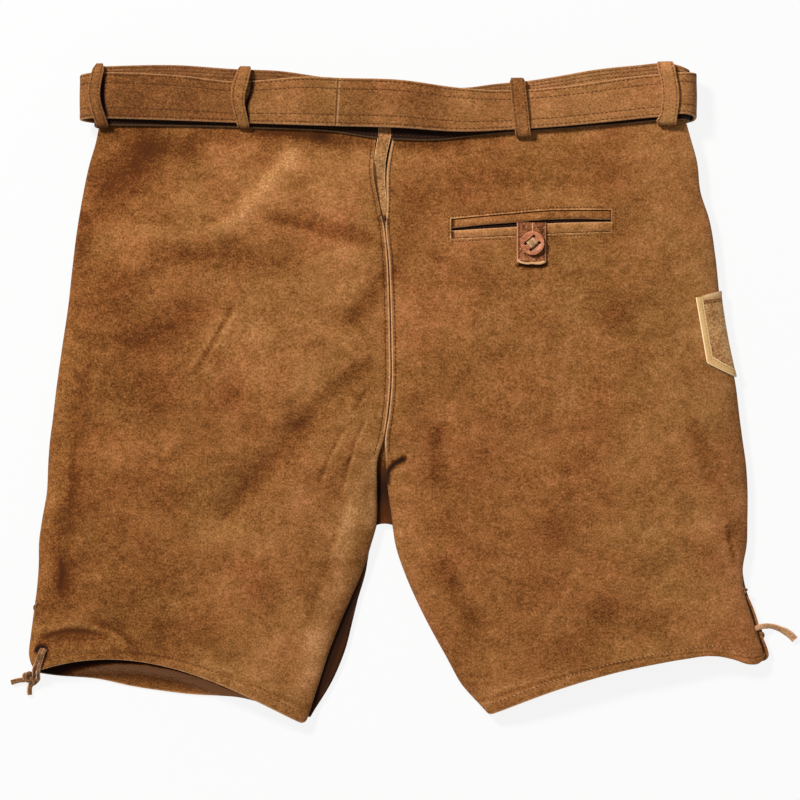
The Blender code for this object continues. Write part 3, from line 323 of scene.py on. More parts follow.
def ripple(x, y, size, seed):
    """Smooth random waves from -1 to 1, about size millimetres long."""
    lattice = np.random.RandomState(seed).uniform(-1, 1, (256, 256))
    u, v = np.asarray(x) / size + 128.3, np.asarray(y) / size + 128.7
    i, j = np.floor(u).astype(int), np.floor(v).astype(int)
    s, t = u - i, v - j
    s, t = s * s * (3 - 2 * s), t * t * (3 - 2 * t)
    i, j = i % 255, j % 255
    low = lattice[i, j] * (1 - s) + lattice[i + 1, j] * s
    high = lattice[i, j + 1] * (1 - s) + lattice[i + 1, j + 1] * s
    return low * (1 - t) + high * t


def strand_axes(path, reference, closed=False):
    """The directions beside and above a strand at each point of its path."""
    ahead = np.gradient(path, axis=0)
    if closed:
        ahead[0] = ahead[-1] = path[1] - path[-2]
    ahead = unit(ahead)
    beside = unit(np.cross(ahead, reference))
    return beside, np.cross(beside, ahead)


def squared(angle, power):
    """A wave of the angle's cosine, flattened towards a square."""
    return math.copysign(abs(math.cos(angle)) ** power, math.cos(angle))


def lace(name, route, seed, wide=LACE_WIDE, thick=LACE_THICK, sides=20):
    """A strip of hide along a route, a little uneven and slowly turning, with cut ends."""
    path = finer_route(route, 1.0)
    beside, up = strand_axes(path, (0.0, 0.0, 1.0))
    points, cut = [], []
    for number, centre in enumerate(path):
        twist = 0.35 * math.sin(number * 0.11 + seed)
        swell = 1.0 + 0.07 * ripple(number * 3.0, 0.0, 7.0, seed)
        swell += 0.35 * float(np.clip((number / len(path) - 0.55) / 0.2, 0, 1))
        for side in range(sides):
            angle = 2 * math.pi * side / sides
            across = squared(angle, 0.6) * wide / 2
            over = squared(angle - math.pi / 2, 0.75) * thick / 2
            turned = (across * math.cos(twist) - over * math.sin(twist),
                      across * math.sin(twist) + over * math.cos(twist))
            points.append(centre + swell * (beside[number] * turned[0] + up[number] * turned[1]))
            cut.append(1.0 if abs(math.cos(angle)) > 0.75 else 0.0)
    ends = [tuple(reversed(range(sides))), tuple(range((len(path) - 1) * sides, len(path) * sides))]
    piece = mesh_piece(name, points, ring_faces(len(path), sides) + ends, [LACE_HIDE])
    turn_outwards(piece)
    piece.data.set_sharp_from_angle(angle=math.radians(50))
    paint(piece, "cut", cut)
    return piece, path


def fit(piece, slot, *nodes):
    """Put a finished piece in the place of its solids, on the garment's one body."""
    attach(piece, "root")
    if nodes:
        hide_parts(*nodes)


def tied(name, centre, radius, lean, seed, sides=8):
    """A small tight knot: three turns of lace drawn into each other."""
    spots = []
    for a in np.linspace(0.0, 2 * math.pi, 140):
        spots.append((math.sin(a) + 2 * math.sin(2 * a), math.cos(a) - 2 * math.cos(2 * a),
                      -math.sin(3 * a)))
    spots = np.array(spots) * np.array(radius) / 2.6
    turn = np.array(Matrix.Rotation(lean, 3, "X")) @ np.array(Matrix.Rotation(seed * 0.7, 3, "Z"))
    spots = spots @ turn.T + np.array(centre)
    beside, up = strand_axes(spots, (0.31, 0.17, 0.93), closed=True)
    strand = 0.42 * min(radius)
    count = len(spots) - 1
    points = []
    for number in range(count):
        for angle in 2 * math.pi * np.arange(sides) / sides:
            points.append(spots[number] + strand * (1.15 * math.cos(angle) * beside[number]
                                                    + 0.85 * math.sin(angle) * up[number]))
    piece = mesh_piece(name, points, ring_faces(count, sides, closed=True), [LACE_HIDE])
    turn_outwards(piece)
    edges = np.isin(np.arange(sides), (0, sides // 2))
    paint(piece, "cut", np.tile(0.7 * edges, count))
    return piece


laces = []
for name, route, seed, wide, shade in (("lace_left_long", LACE_LEFT_LONG, 3, LACE_WIDE, 0.0),
                                       ("lace_left_short", LACE_LEFT_SHORT, 5, LACE_WIDE, 0.0),
                                       ("lace_right", LACE_RIGHT, 8, RIGHT_LACE_WIDE, 0.4)):
    strand, path = lace(name + "_hide", route, seed, wide)
    paint(strand, "tone", np.full(len(strand.data.vertices), shade))
    fit(strand, "lace", name)
    laces.append((strand, path, wide))

# name, solid, centre, radius, lean and seed of each knot
knots = {}
for name, node, centre, radius, lean, seed in (
        ("lace_left_tie", "lace_left_knot", (-284.4, -221.0, 5.6), (3.0, 5.4, 3.4), 0.5, 1),
        ("lace_right_tie", "lace_right_knot", (279.2, -188.2, 3.6), (4.4, 2.5, 2.6), 0.2, 2),
        ("vent_knot_left_hide", "vent_knot_left", (-278.4, -165.9, 8.6), (1.9, 3.2, 2.2), 0.4, 4),
        ("vent_knot_right_hide", "vent_knot_right", (266.6, -153.1, 8.6), (1.6, 3.0, 2.0), 0.4, 6)):
    knots[name] = tied(name, centre, radius, lean, seed)
    fit(knots[name], "lace", node)

for (strand, path, wide), pieces in zip(laces, ([knots["lace_left_tie"]], [], [knots["lace_right_tie"]])):
    float(arc_knots(path)[-1] * MM)
    [tuple(p * MM) for p in path]

# ---------------------------------------------------------------- panels: shapes that all four share
# Each leg is one back and one front panel of brushed hide 1.5 mm thick. A row of the tables is
# a line across a back panel, from its seam or inseam out to the side seam.
SUEDE, BAND, BELT, LOOP, GAP = 1.5, 2.4, 2.5, 1.3, 0.3
BUCKLE_SPACE, HOLLOW = 7.9, 5.6
CENTRE_X = -10.4
SIDE_SLACK = 0.5
BELT_FRONT_Z = BUCKLE_SPACE - GAP - BELT / 2
BAND_FRONT_Z = BUCKLE_SPACE + BAND / 2
FRONT_WAIST_Z = BUCKLE_SPACE + BAND + GAP
BACK_WAIST_Z = FRONT_WAIST_Z + SUEDE + HOLLOW + SUEDE
BAND_BACK_Z = BACK_WAIST_Z + GAP + BAND / 2
BELT_BACK_Z = BAND_BACK_Z + BAND / 2 + GAP + BELT / 2
LOOP_BACK_Z = BELT_BACK_Z + BELT / 2 + GAP + LOOP / 2
LOOP_FRONT_Z = BELT_FRONT_Z - BELT / 2 - GAP - LOOP / 2
WAIST_SEAM_Z = (FRONT_WAIST_Z + BACK_WAIST_Z) / 2

# bow: how far the middle of the line stands up. lap: how far the front shows past the inseam.
# crown, in_z, side_z: heights of the middle, the inner edge and the side. rise: the front's height
Section = namedtuple("Section", "in_x in_y out_x out_y bow lap crown in_z side_z rise")
LEFT_LINES = [
    (-15.6, 201.4, -230.0, 211.4, 2.0, 0.0), (-16.9, 193.0, -230.6, 203.4, 2.0, 0.0),
    (-17.6, 186.4, -232.4, 194.0, 1.5, 0.0), (-18.6, 169.8, -238.1, 174.4, 0.0, 0.0),
    (-14.4, 145.1, -243.8, 147.5, 0.0, 0.0), (-11.2, 130.5, -247.1, 128.2, 0.0, 0.0),
    (-8.0, 101.3, -251.1, 97.4, 0.0, 0.0), (-6.7, 70.5, -254.5, 66.6, 0.0, 0.0),
    (-5.9, 35.8, -259.6, 32.0, 0.0, 0.0), (-5.9, 5.0, -264.1, -0.4, 0.0, 0.0),
    (-8.1, -18.1, -266.6, -21.9, 0.0, 0.0), (-11.2, -37.3, -268.9, -39.7, 0.0, 0.0),
    (-15.4, -51.2, -270.0, -54.3, 0.0, 0.0), (-16.2, -75.8, -271.1, -77.4, 0.0, 0.0),
    (-16.6, -100.5, -274.9, -99.7, 0.0, 0.0), (-20.8, -118.2, -277.1, -115.9, 0.0, 0.0),
    (-27.7, -139.0, -277.4, -133.6, 1.5, 3.0), (-36.2, -159.0, -278.7, -151.3, 4.0, 6.0),
    (-44.7, -179.0, -281.1, -169.8, 8.0, 9.5), (-53.9, -202.9, -283.4, -187.5, 14.0, 13.0),
    (-61.6, -227.5, -284.9, -202.9, 19.5, 10.5), (-69.5, -258.0, -281.1, -216.8, 25.0, 2.0),
]
RIGHT_LINES = [
    (-5.4, 200.6, 220.6, 217.5, -3.0, 0.0), (-5.2, 192.4, 221.6, 209.4, -4.0, 0.0),
    (-6.6, 185.0, 224.7, 198.0, -2.5, 0.0), (-8.9, 169.8, 230.3, 178.3, -1.0, 0.0),
    (-9.1, 147.5, 233.4, 153.6, 0.0, 0.0), (-9.7, 130.5, 239.9, 133.6, 0.0, 0.0),
    (-7.0, 101.3, 244.8, 105.1, 0.0, 0.0), (-5.7, 70.5, 248.4, 72.0, 0.0, 0.0),
    (-4.9, 35.8, 253.5, 39.7, 0.0, 0.0), (-4.9, 5.0, 260.6, 5.0, 0.0, 0.0),
    (-7.0, -18.1, 263.7, -20.4, 0.0, 0.0), (-9.9, -37.3, 266.3, -39.7, 0.0, 0.0),
    (-9.6, -51.2, 268.4, -54.3, 0.0, 0.0), (-8.1, -72.8, 269.8, -75.8, 0.0, 0.0),
    (-4.6, -98.9, 269.7, -98.9, 0.0, 0.0), (-1.5, -120.5, 269.2, -118.2, 0.0, 0.0),
    (6.2, -142.8, 266.1, -137.4, 1.0, 0.0), (13.9, -160.5, 267.2, -152.8, 2.5, 0.0),
    (23.9, -180.6, 272.2, -169.8, 5.0, 0.0), (36.2, -202.9, 277.2, -187.5, 8.5, 0.0),
    (50.8, -228.3, 281.4, -200.6, 12.0, 0.0), (67.0, -248.3, 284.9, -209.1, 15.5, 0.0),
]
HEIGHTS = [
    (BACK_WAIST_Z, BACK_WAIST_Z, WAIST_SEAM_Z, FRONT_WAIST_Z),
    (BACK_WAIST_Z, BACK_WAIST_Z, WAIST_SEAM_Z, FRONT_WAIST_Z), (20.6, 20.0, 13.6, FRONT_WAIST_Z),
    (22.0, 20.8, 11.5, 7.6), (24.0, 21.6, 9.5, 5.0), (25.0, 21.8, 8.3, 3.6), (26.0, 22.4, 7.2, 2.4),
    (26.4, 22.8, 6.5, 1.9), (26.6, 23.0, 6.2, 1.9), (26.4, 22.8, 6.0, 1.9), (26.0, 22.2, 5.8, 1.4),
    (25.6, 21.0, 5.6, 0.5), (25.4, 18.2, 5.5, 0.0), (25.0, 12.0, 5.5, 0.0), (24.6, 7.6, 5.5, 0.0),
    (24.2, 6.6, 5.5, 0.0), (23.6, 6.6, 5.5, 0.0), (23.0, 6.6, 5.5, 0.0), (22.4, 6.6, 5.5, 0.0),
    (22.0, 6.6, 5.5, 0.0), (21.8, 6.6, 5.5, 0.0), (21.6, 6.6, 5.5, 0.0),
]
LEFT, RIGHT = ([Section(*line, *heights) for line, heights in zip(lines, HEIGHTS)]
               for lines in (LEFT_LINES, RIGHT_LINES))
RIGHT[12] = RIGHT[12]._replace(in_z=17.4)
CROTCH_ROW = 14
EDGE_ZONE = 11.0

MAIN_SHADES = [(80, 40, 12), (112, 66, 29), (140, 90, 48), (165, 112, 68), (194, 141, 97)]
CUT_SHADE = (202, 152, 106)
MAIN_HIDE = suede("main_hide", MAIN_SHADES, CUT_SHADE)


def lerp(a, b, t):
    """The value a share t of the way from a to b."""
    return a + (b - a) * t


def fade(values):
    """Values held between 0 and 1."""
    return np.clip(values, 0, 1)


def bell(values, width):
    """A smooth hump, 1 where the values are 0 and gone beyond about twice the width."""
    return np.exp(-(values / width) ** 2)


def loft(rows, spacing, last=None):
    """Lines of points laid smoothly between those of a table, spacing millimetres apart."""
    rows = np.asarray(rows, float)
    knots = arc_knots(rows[:, rows.shape[1] // 2])
    at = np.linspace(0, knots[-1], round(knots[-1] / spacing) + 1)
    if last:
        at = np.concatenate([at[at < knots[-1] - last[0] - spacing / 2], knots[-1] - np.array(last)])
    return smooth_table(knots, rows, at)


def grid_faces(grid, flip=False):
    """The quads of a grid of points."""
    count, wide = grid.shape[:2]
    faces = []
    for a in (r * wide + c for r in range(count - 1) for c in range(wide - 1)):
        quad = (a, a + 1, a + wide + 1, a + wide)
        faces.append(quad[::-1] if flip else quad)
    return faces


def looks_down(grid):
    """Whether a grid's quads, as they are numbered, face downwards."""
    a, b = grid[1:, :-1] - grid[:-1, :-1], grid[:-1, 1:] - grid[:-1, :-1]
    return float(np.cross(b, a)[..., 2].sum()) < 0


def apply_all(piece):
    """Apply every modifier of a piece."""
    bpy.ops.object.select_all(action="DESELECT")
    piece.select_set(True)
    bpy.context.view_layer.objects.active = piece
    for modifier in list(piece.modifiers):
        bpy.ops.object.modifier_apply(modifier=modifier.name)


def cloth(name, grid, thickness, material, faces_down=False, inside=None, **painted):
    """A piece of hide: a fine face with a wall of its own thickness behind it.

    The painted numbers are given by name, and inside is the tone of its inner side, where that
    differs.
    """
    faces = grid_faces(grid, looks_down(grid) != faces_down)
    piece = mesh_piece(name, grid.reshape(-1, 3), faces, [material])
    for layer, values in painted.items():
        paint(piece, layer, values)
    wall = piece.modifiers.new("wall", "SOLIDIFY")
    wall.thickness = thickness * MM
    wall.offset = -1.0
    wall.use_even_offset = False
    apply_all(piece)
    piece.data.set_sharp_from_angle(angle=math.radians(48))
    if inside is not None:
        tone = np.empty(len(piece.data.vertices), np.float32)
        piece.data.attributes["tone"].data.foreach_get("value", tone)
        tone[inside.size:] = inside.ravel()
        paint(piece, "tone", tone)
    return piece


def from_hem(grid):
    """How far each line of a panel lies from its hem, along the panel's middle."""
    along = arc_knots(grid[:, grid.shape[1] // 2])
    return (along[-1] - along)[:, None]


def round_corner(grid, from_edge, radius):
    """Round off a hem's corner. from_edge is how far each column lies from the panel's edge."""
    short = np.maximum(0.0, radius - np.asarray(from_edge))
    lift = radius - np.sqrt(np.maximum(0.0, radius ** 2 - short ** 2))
    grid[..., 1] += fade(1.0 - from_hem(grid) / (2.5 * radius)) ** 1.5 * lift


def face_tree(grid):
    """The faces of a grid of points, to find what lies under a place."""
    return BVHTree.FromPolygons([Vector(p) for p in grid.reshape(-1, 3)], grid_faces(grid))


def edge_curve(radius, lap, steps):
    """The turned edge of a front panel: distance in from the edge and height, flat part first."""
    bend = radius / 2 if lap > 0 else radius
    turn, count = (math.pi, 8) if lap > 0 else (math.pi / 2, 6)
    points = [(EDGE_ZONE + lap, 0.0), (bend, 0.0)]
    for angle in (turn * step / count for step in range(1, count + 1)):
        points.append((bend * (1 - math.sin(angle)), bend * (1 - math.cos(angle))))
    if lap > 0:
        points.append((max(lap, bend + 0.5), radius))
    knots = arc_knots(points)
    at = np.linspace(0, knots[-1], steps + 1)
    return np.stack([np.interp(at, knots, values) for values in zip(*points)], axis=1)


def grid_area(grid):
    """The area of a grid's face in square metres."""
    corners = ((grid[1:, :-1] - grid[:-1, :-1], grid[:-1, 1:] - grid[:-1, :-1]),
               (grid[:-1, 1:] - grid[1:, 1:], grid[1:, :-1] - grid[1:, 1:]))
    return 0.5 * sum(float(np.linalg.norm(np.cross(a, b), axis=-1).sum()) for a, b in corners) * MM ** 2


def cut_size(grid, step=0.005):
    """The sides of the cut: the longest line across a grid and along it, in metres."""
    sides = [np.linalg.norm(np.diff(grid, axis=axis), axis=-1).sum(axis=axis).max() * MM for axis in (1, 0)]
    return tuple(math.ceil(side / step) * step for side in sides)


def declare(piece, grid):
    """Work out the sides and the area of a piece's flat cut; nothing further is done with them."""
    size, area = cut_size(grid), grid_area(grid)


# ---------------------------------------------------------------- front panels
# The two front panels lie underneath, meet at the centre front above the crotch, and turn up at
# the sides to the side seams. On the legs their inner edges turn over to the inseams.
# the front's hem against the straight line between its corners: share across, height
FRONT_HEMS = {-1: [(0.0, 4.5), (0.06, 8.2), (0.14, 9.5), (0.27, 10.9), (0.32, 9.7), (0.43, 6.4),
                   (0.54, 4.7), (0.65, 3.8), (0.76, 4.4), (0.94, 0.5), (1.0, 0.0)],
              1: [(0.0, 4.0), (0.25, 12.0), (0.5, 17.6), (0.75, 14.5), (0.93, 5.0), (1.0, 0.0)]}
FRONT_CORNERS = {-1: (10.0, 4.0), 1: (4.0, 6.0)}
# how far the inner edge stands off the centre front and turns up, in the rows by the crotch
CROTCH_OPENING, CROTCH_CURL = {13: 0.8, 14: 5.4}, {12: 0.4, 13: 1.0, 14: 2.0}
RIGHT_BULGE = {17: 1.5, 18: 3.2, 19: 3.8, 20: 4.4, 21: 1.4}
EDGE_STEPS, FLAT_STEPS = 12, 56
# the left back's hem over the inside of the front, and how deep the painted shadow under it is
LEFT_SHADOW = [(-270.0, -215.0, 12.0), (-261.3, -209.2, 11.0), (-252.0, -207.6, 8.5),
               (-239.5, -207.3, 6.0), (-226.0, -207.3, 4.0), (-217.4, -207.6, 2.8),
               (-195.3, -209.0, 2.4), (-173.3, -213.4, 2.4), (-151.4, -219.8, 2.2),
               (-129.4, -229.3, 1.6), (-119.0, -234.0, 0.6)]
LINING_DEPTH = 13.0


def front_rows(table, side):
    """The points of a front panel's lower face, from its inner edge to its side seam."""
    rows = []
    for number, row in enumerate(table):
        in_leg = max(0, number - CROTCH_ROW) / (len(table) - 1 - CROTCH_ROW)
        if number <= CROTCH_ROW:
            in_x = CENTRE_X + side * CROTCH_OPENING.get(number, GAP / 2)
            curl = CROTCH_CURL.get(number, 0.02)
        else:
            in_x = row.in_x - side * row.lap
            curl = row.side_z - row.rise
        width = abs(row.out_x + (RIGHT_BULGE.get(number, 0.0) if side > 0 else 0.0) - in_x)
        inner = edge_curve(curl, row.lap, EDGE_STEPS)[::-1]
        outer = edge_curve(row.side_z - row.rise, 0.0, EDGE_STEPS)
        flat = np.linspace(inner[-1][0], width - outer[0][0], FLAT_STEPS + 1)[1:-1]
        places = [*inner, *((distance, 0.0) for distance in flat), *((width - d, z) for d, z in outer)]
        line = []
        for distance, height in places:
            share = distance / width
            lift = float(smooth_table(*zip(*FRONT_HEMS[side]), min(1.0, share)))
            line.append((in_x + side * distance, lerp(row.in_y, row.out_y, share) + lift * in_leg ** 2,
                         row.rise + height))
        rows.append(line)
    return rows


def front_panel(name, table, side, seed):
    """One front panel, with soft waves where nothing presses it flat."""
    grid = loft(front_rows(table, side), 4.0, last=tuple(np.linspace(21.0, 0.0, 15)))
    x, y = grid[..., 0], grid[..., 1]
    free = fade((205.0 - y) / 90.0) * fade(grid[..., 2] / 3.0)
    grid[..., 2] += free * 0.25 * ripple(x, y, 26.0, seed)
    across = arc_knots(grid[-1] * (1, 1, 0))
    round_corner(grid, across, FRONT_CORNERS[side][0])
    round_corner(grid, across[-1] - across, FRONT_CORNERS[side][1])
    tone = 0.05 * ripple(x, y, 45.0, seed + 1)
    # painted shade where the inner edge turns under by the crotch and the inseams, a little less on two
    # columns that stand up as ridges
    turned = fade(grid[..., 2] / 2.0) * (np.abs(x - CENTRE_X) < 80) * fade((-112 - y) / 50)
    ridges = np.isin(np.arange(x.shape[1]), (3, 6))
    tone = tone - (1.15 - 0.4 * ridges) * turned
    # Inside the left leg's opening: a painted shadow under the left back's hem, and painted light on the
    # inside of the front below it, warmed so that it stays brown
    edges, heights, depths = zip(*LEFT_SHADOW)
    depth = np.interp(x, edges, heights) - y
    shadow = fade(1.25 - depth / np.interp(x, edges, depths)) * (x < -118)
    lining = x < -100
    inside = tone + (1.20 - 1.35 * fade(depth / LINING_DEPTH)) * lining - 2.9 * shadow
    warm = 1.6 * fade(1.2 - depth / LINING_DEPTH) * lining
    edge = np.zeros(x.shape)
    edge[-1, :] = 0.5 * (1.0 - turned[-1])
    return cloth(name, grid, SUEDE, MAIN_HIDE, faces_down=True, inside=inside,
                 tone=tone, cut=edge, warm=warm), grid


front_left, LEFT_FRONT = front_panel("front_left_hide", LEFT, -1, 21)
front_right, RIGHT_FRONT = front_panel("front_right_hide", RIGHT, 1, 22)
fit(front_left, "suede", "front_left")
fit(front_right, "suede", "front_right")
declare(front_left, LEFT_FRONT)
declare(front_right, RIGHT_FRONT)
FRONT_TREES = [face_tree(LEFT_FRONT), face_tree(RIGHT_FRONT)]

# ---------------------------------------------------------------- front flap and its buttons
# The flap closes the front and lies under the panels here. Two flat horn buttons hold its top
# corners; they stay fastened.
FLAP = [(187.0, 75.0), (169.8, 75.0), (146.3, 75.0), (130.5, 75.0), (101.3, 74.0), (70.5, 72.0),
        (35.8, 69.0), (12.0, 64.0), (3.0, 52.0)]


def drop_on(trees, x, y, above, otherwise):
    """The height of whichever panel lies at a place, seen from above or from below."""
    start, way = (Vector((x, y, 100.0)), (0, 0, -1)) if above else (Vector((x, y, -100.0)), (0, 0, 1))
    for tree in trees:
        place = tree.ray_cast(start, Vector(way))[0]
        if place:
            return place.z
    return otherwise


def below(x, y):
    """The height of the lower face of the front panels at a place."""
    return drop_on(FRONT_TREES, x, y, False, FRONT_WAIST_Z)


def flap_rows():
    """The lower face of the flap."""
    rows = []
    for y, half in FLAP:
        places = [CENTRE_X + half * share for share in np.linspace(-1, 1, 41)]
        low = min(below(x, y + dy) for x in (places[0], places[20], places[-1]) for dy in (-3, 3))
        rows.append([(x, y, max(0.0, low - GAP - SUEDE)) for x in places])
    return rows


def cut_edges(grid, amount, ends=True):
    """The bare fibre along a piece's cut sides, and along its ends too."""
    bare = np.zeros(grid.shape[:2])
    bare[:, [0, -1]] = amount
    if ends:
        bare[[0, -1], :] = amount
    return bare


FLAP_GRID = loft(flap_rows(), 3.5)
FLAP_GRID[..., 2] = np.maximum(FLAP_GRID[..., 2], 0.0)
front_flap = cloth("front_flap_hide", FLAP_GRID, SUEDE, MAIN_HIDE, faces_down=True,
                   cut=cut_edges(FLAP_GRID, 0.9))
fit(front_flap, "suede", "front_flap")
declare(front_flap, FLAP_GRID)


def horn(name, main, dark, pale):
    """Polished horn: bands of light and dark that run through the disc, under a soft gloss."""
    material, tree, shader, place = new_material(name)
    drawn = add_node(tree, "Mapping", Vector=place, Rotation=(0.0, 0.0, 0.6), Scale=(1.0, 3.0, 1.0))
    band = cloud(tree, drawn.outputs["Vector"], 9.0, 4.0, 0.6, 1.2)
    fine = cloud(tree, place, 1.2)
    value = summed(tree, 0.5, [(band, 1.3), (fine, 0.5)])
    colour = ramp(tree, value, (0.15, 0.5, 0.85), [screen(*shade) for shade in (dark, main, pale)])
    worn = mixed(tree, attribute(tree, "cut"), colour, screen(*dark))
    bump = add_node(tree, "Bump", Strength=0.25, Distance=0.0003, Height=fine)
    set_sockets(shader, Base_Color=worn, Normal=bump.outputs["Normal"], Roughness=0.42,
                Specular_IOR_Level=0.4)
    return material


HORN = horn("horn", (176, 106, 68), (114, 58, 34), (204, 136, 94))


def turned_button(name, radius, height, rim, dish, slots, place):
    """A round button turned from horn: a dished face inside a rim, and slots through it.

    A slot is the place of its middle and its two sides.
    """
    bpy.ops.object.select_all(action="DESELECT")
    bpy.ops.mesh.primitive_cylinder_add(vertices=72, radius=radius * MM, depth=height * MM,
                                        location=(0, 0, height / 2 * MM))
    button = bpy.context.object
    button.name = name
    bpy.ops.object.transform_apply(location=True, rotation=True, scale=True)
    bpy.ops.object.mode_set(mode="EDIT")
    bpy.ops.mesh.select_all(action="DESELECT")
    bm = bmesh.from_edit_mesh(button.data)
    for face in bm.faces:
        face.select = face.normal.z > 0.9
    bmesh.update_edit_mesh(button.data)
    bpy.ops.mesh.inset(thickness=rim * MM)
    for inset, drop in ((0.9, dish), (1.6, 0.12)):
        bpy.ops.mesh.inset(thickness=inset * MM)
        bpy.ops.transform.translate(value=(0, 0, -drop * MM))
    bpy.ops.object.mode_set(mode="OBJECT")
    for x, y, across, along in slots:
        bpy.ops.object.select_all(action="DESELECT")
        bpy.ops.mesh.primitive_cube_add(size=1.0, location=(x * MM, y * MM, height / 2 * MM))
        tool = bpy.context.object
        tool.scale = (across * MM, along * MM, height * 3 * MM)
        hole = button.modifiers.new("slot", "BOOLEAN")
        hole.operation = "DIFFERENCE"
        hole.object = tool
        apply_all(button)
        bpy.data.objects.remove(tool)
    soften = button.modifiers.new("round", "BEVEL")
    soften.width = 0.32 * MM
    soften.segments = 3
    soften.limit_method = "ANGLE"
    soften.angle_limit = math.radians(35)
    apply_all(button)
    button.data.transform(place)
    button.data.materials.append(HORN)
    button.data.shade_smooth()
    button.data.set_sharp_from_angle(angle=math.radians(50))
    turn_outwards(button)
    return button


FLAP_HOLE, FLAP_HOLE_AT = 1.3, 1.6
for node in ("flap_button_left", "flap_button_right"):
    low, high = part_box(node)
    centre = (low + high) / 2
    turned = Matrix.Translation(Vector((centre.x, centre.y, high.z))) @ Matrix.Rotation(math.pi, 4, "X")
    holes = [(x, 0.0, FLAP_HOLE, FLAP_HOLE) for x in (-FLAP_HOLE_AT, FLAP_HOLE_AT)]
    fit(turned_button(node + "_horn", 8.0, 2.4, 1.3, 0.35, holes, turned), "horn", node)

# ---------------------------------------------------------------- back panels
# The two back panels are the broad faces of the garment, butted together down the centre back
# with a row of stitches on each side. They sag in soft folds towards the crotch, and years of
# sitting have rubbed the nap lighter and darker in patches. Shade is also painted into the
# tone in the folds, creases and hollows and under the waistband and pocket tab, and light on some
# ridges.
# a stroke of wear, of a fold, or of painted light and shade: its line, half width, dip of the face,
# tone and warmth. Its tone darkens creases, folds and hollows as painted shade and lightens ridges
# as wear and painted highlight
Stroke = namedtuple("Stroke", "line width dip tone warm", defaults=[0.0])
FOLDS = [Stroke(*row) for row in (
    # the folds that the solids have too, painted darker as shade in their troughs
    ([(-24, 20), (-78, -32)], 11.0, 1.6, -0.06),
    ([(-78, -32), (-130, -90)], 12.0, 2.2, -0.07),
    ([(-12, 86), (-40, 52)], 11.0, 2.0, -0.06),
    ([(-26, 120), (-78, 132)], 11.0, 1.6, -0.05),
    ([(-86, 108), (-162, 108)], 13.0, 1.4, -0.05),
    ([(-268, -188), (-215, -181)], 10.0, 3.0, -0.06),
    ([(30, -32), (27, -80)], 10.0, 1.8, -0.05),
    ([(36, -134), (58, -172)], 13.0, 1.5, -0.05),
)]
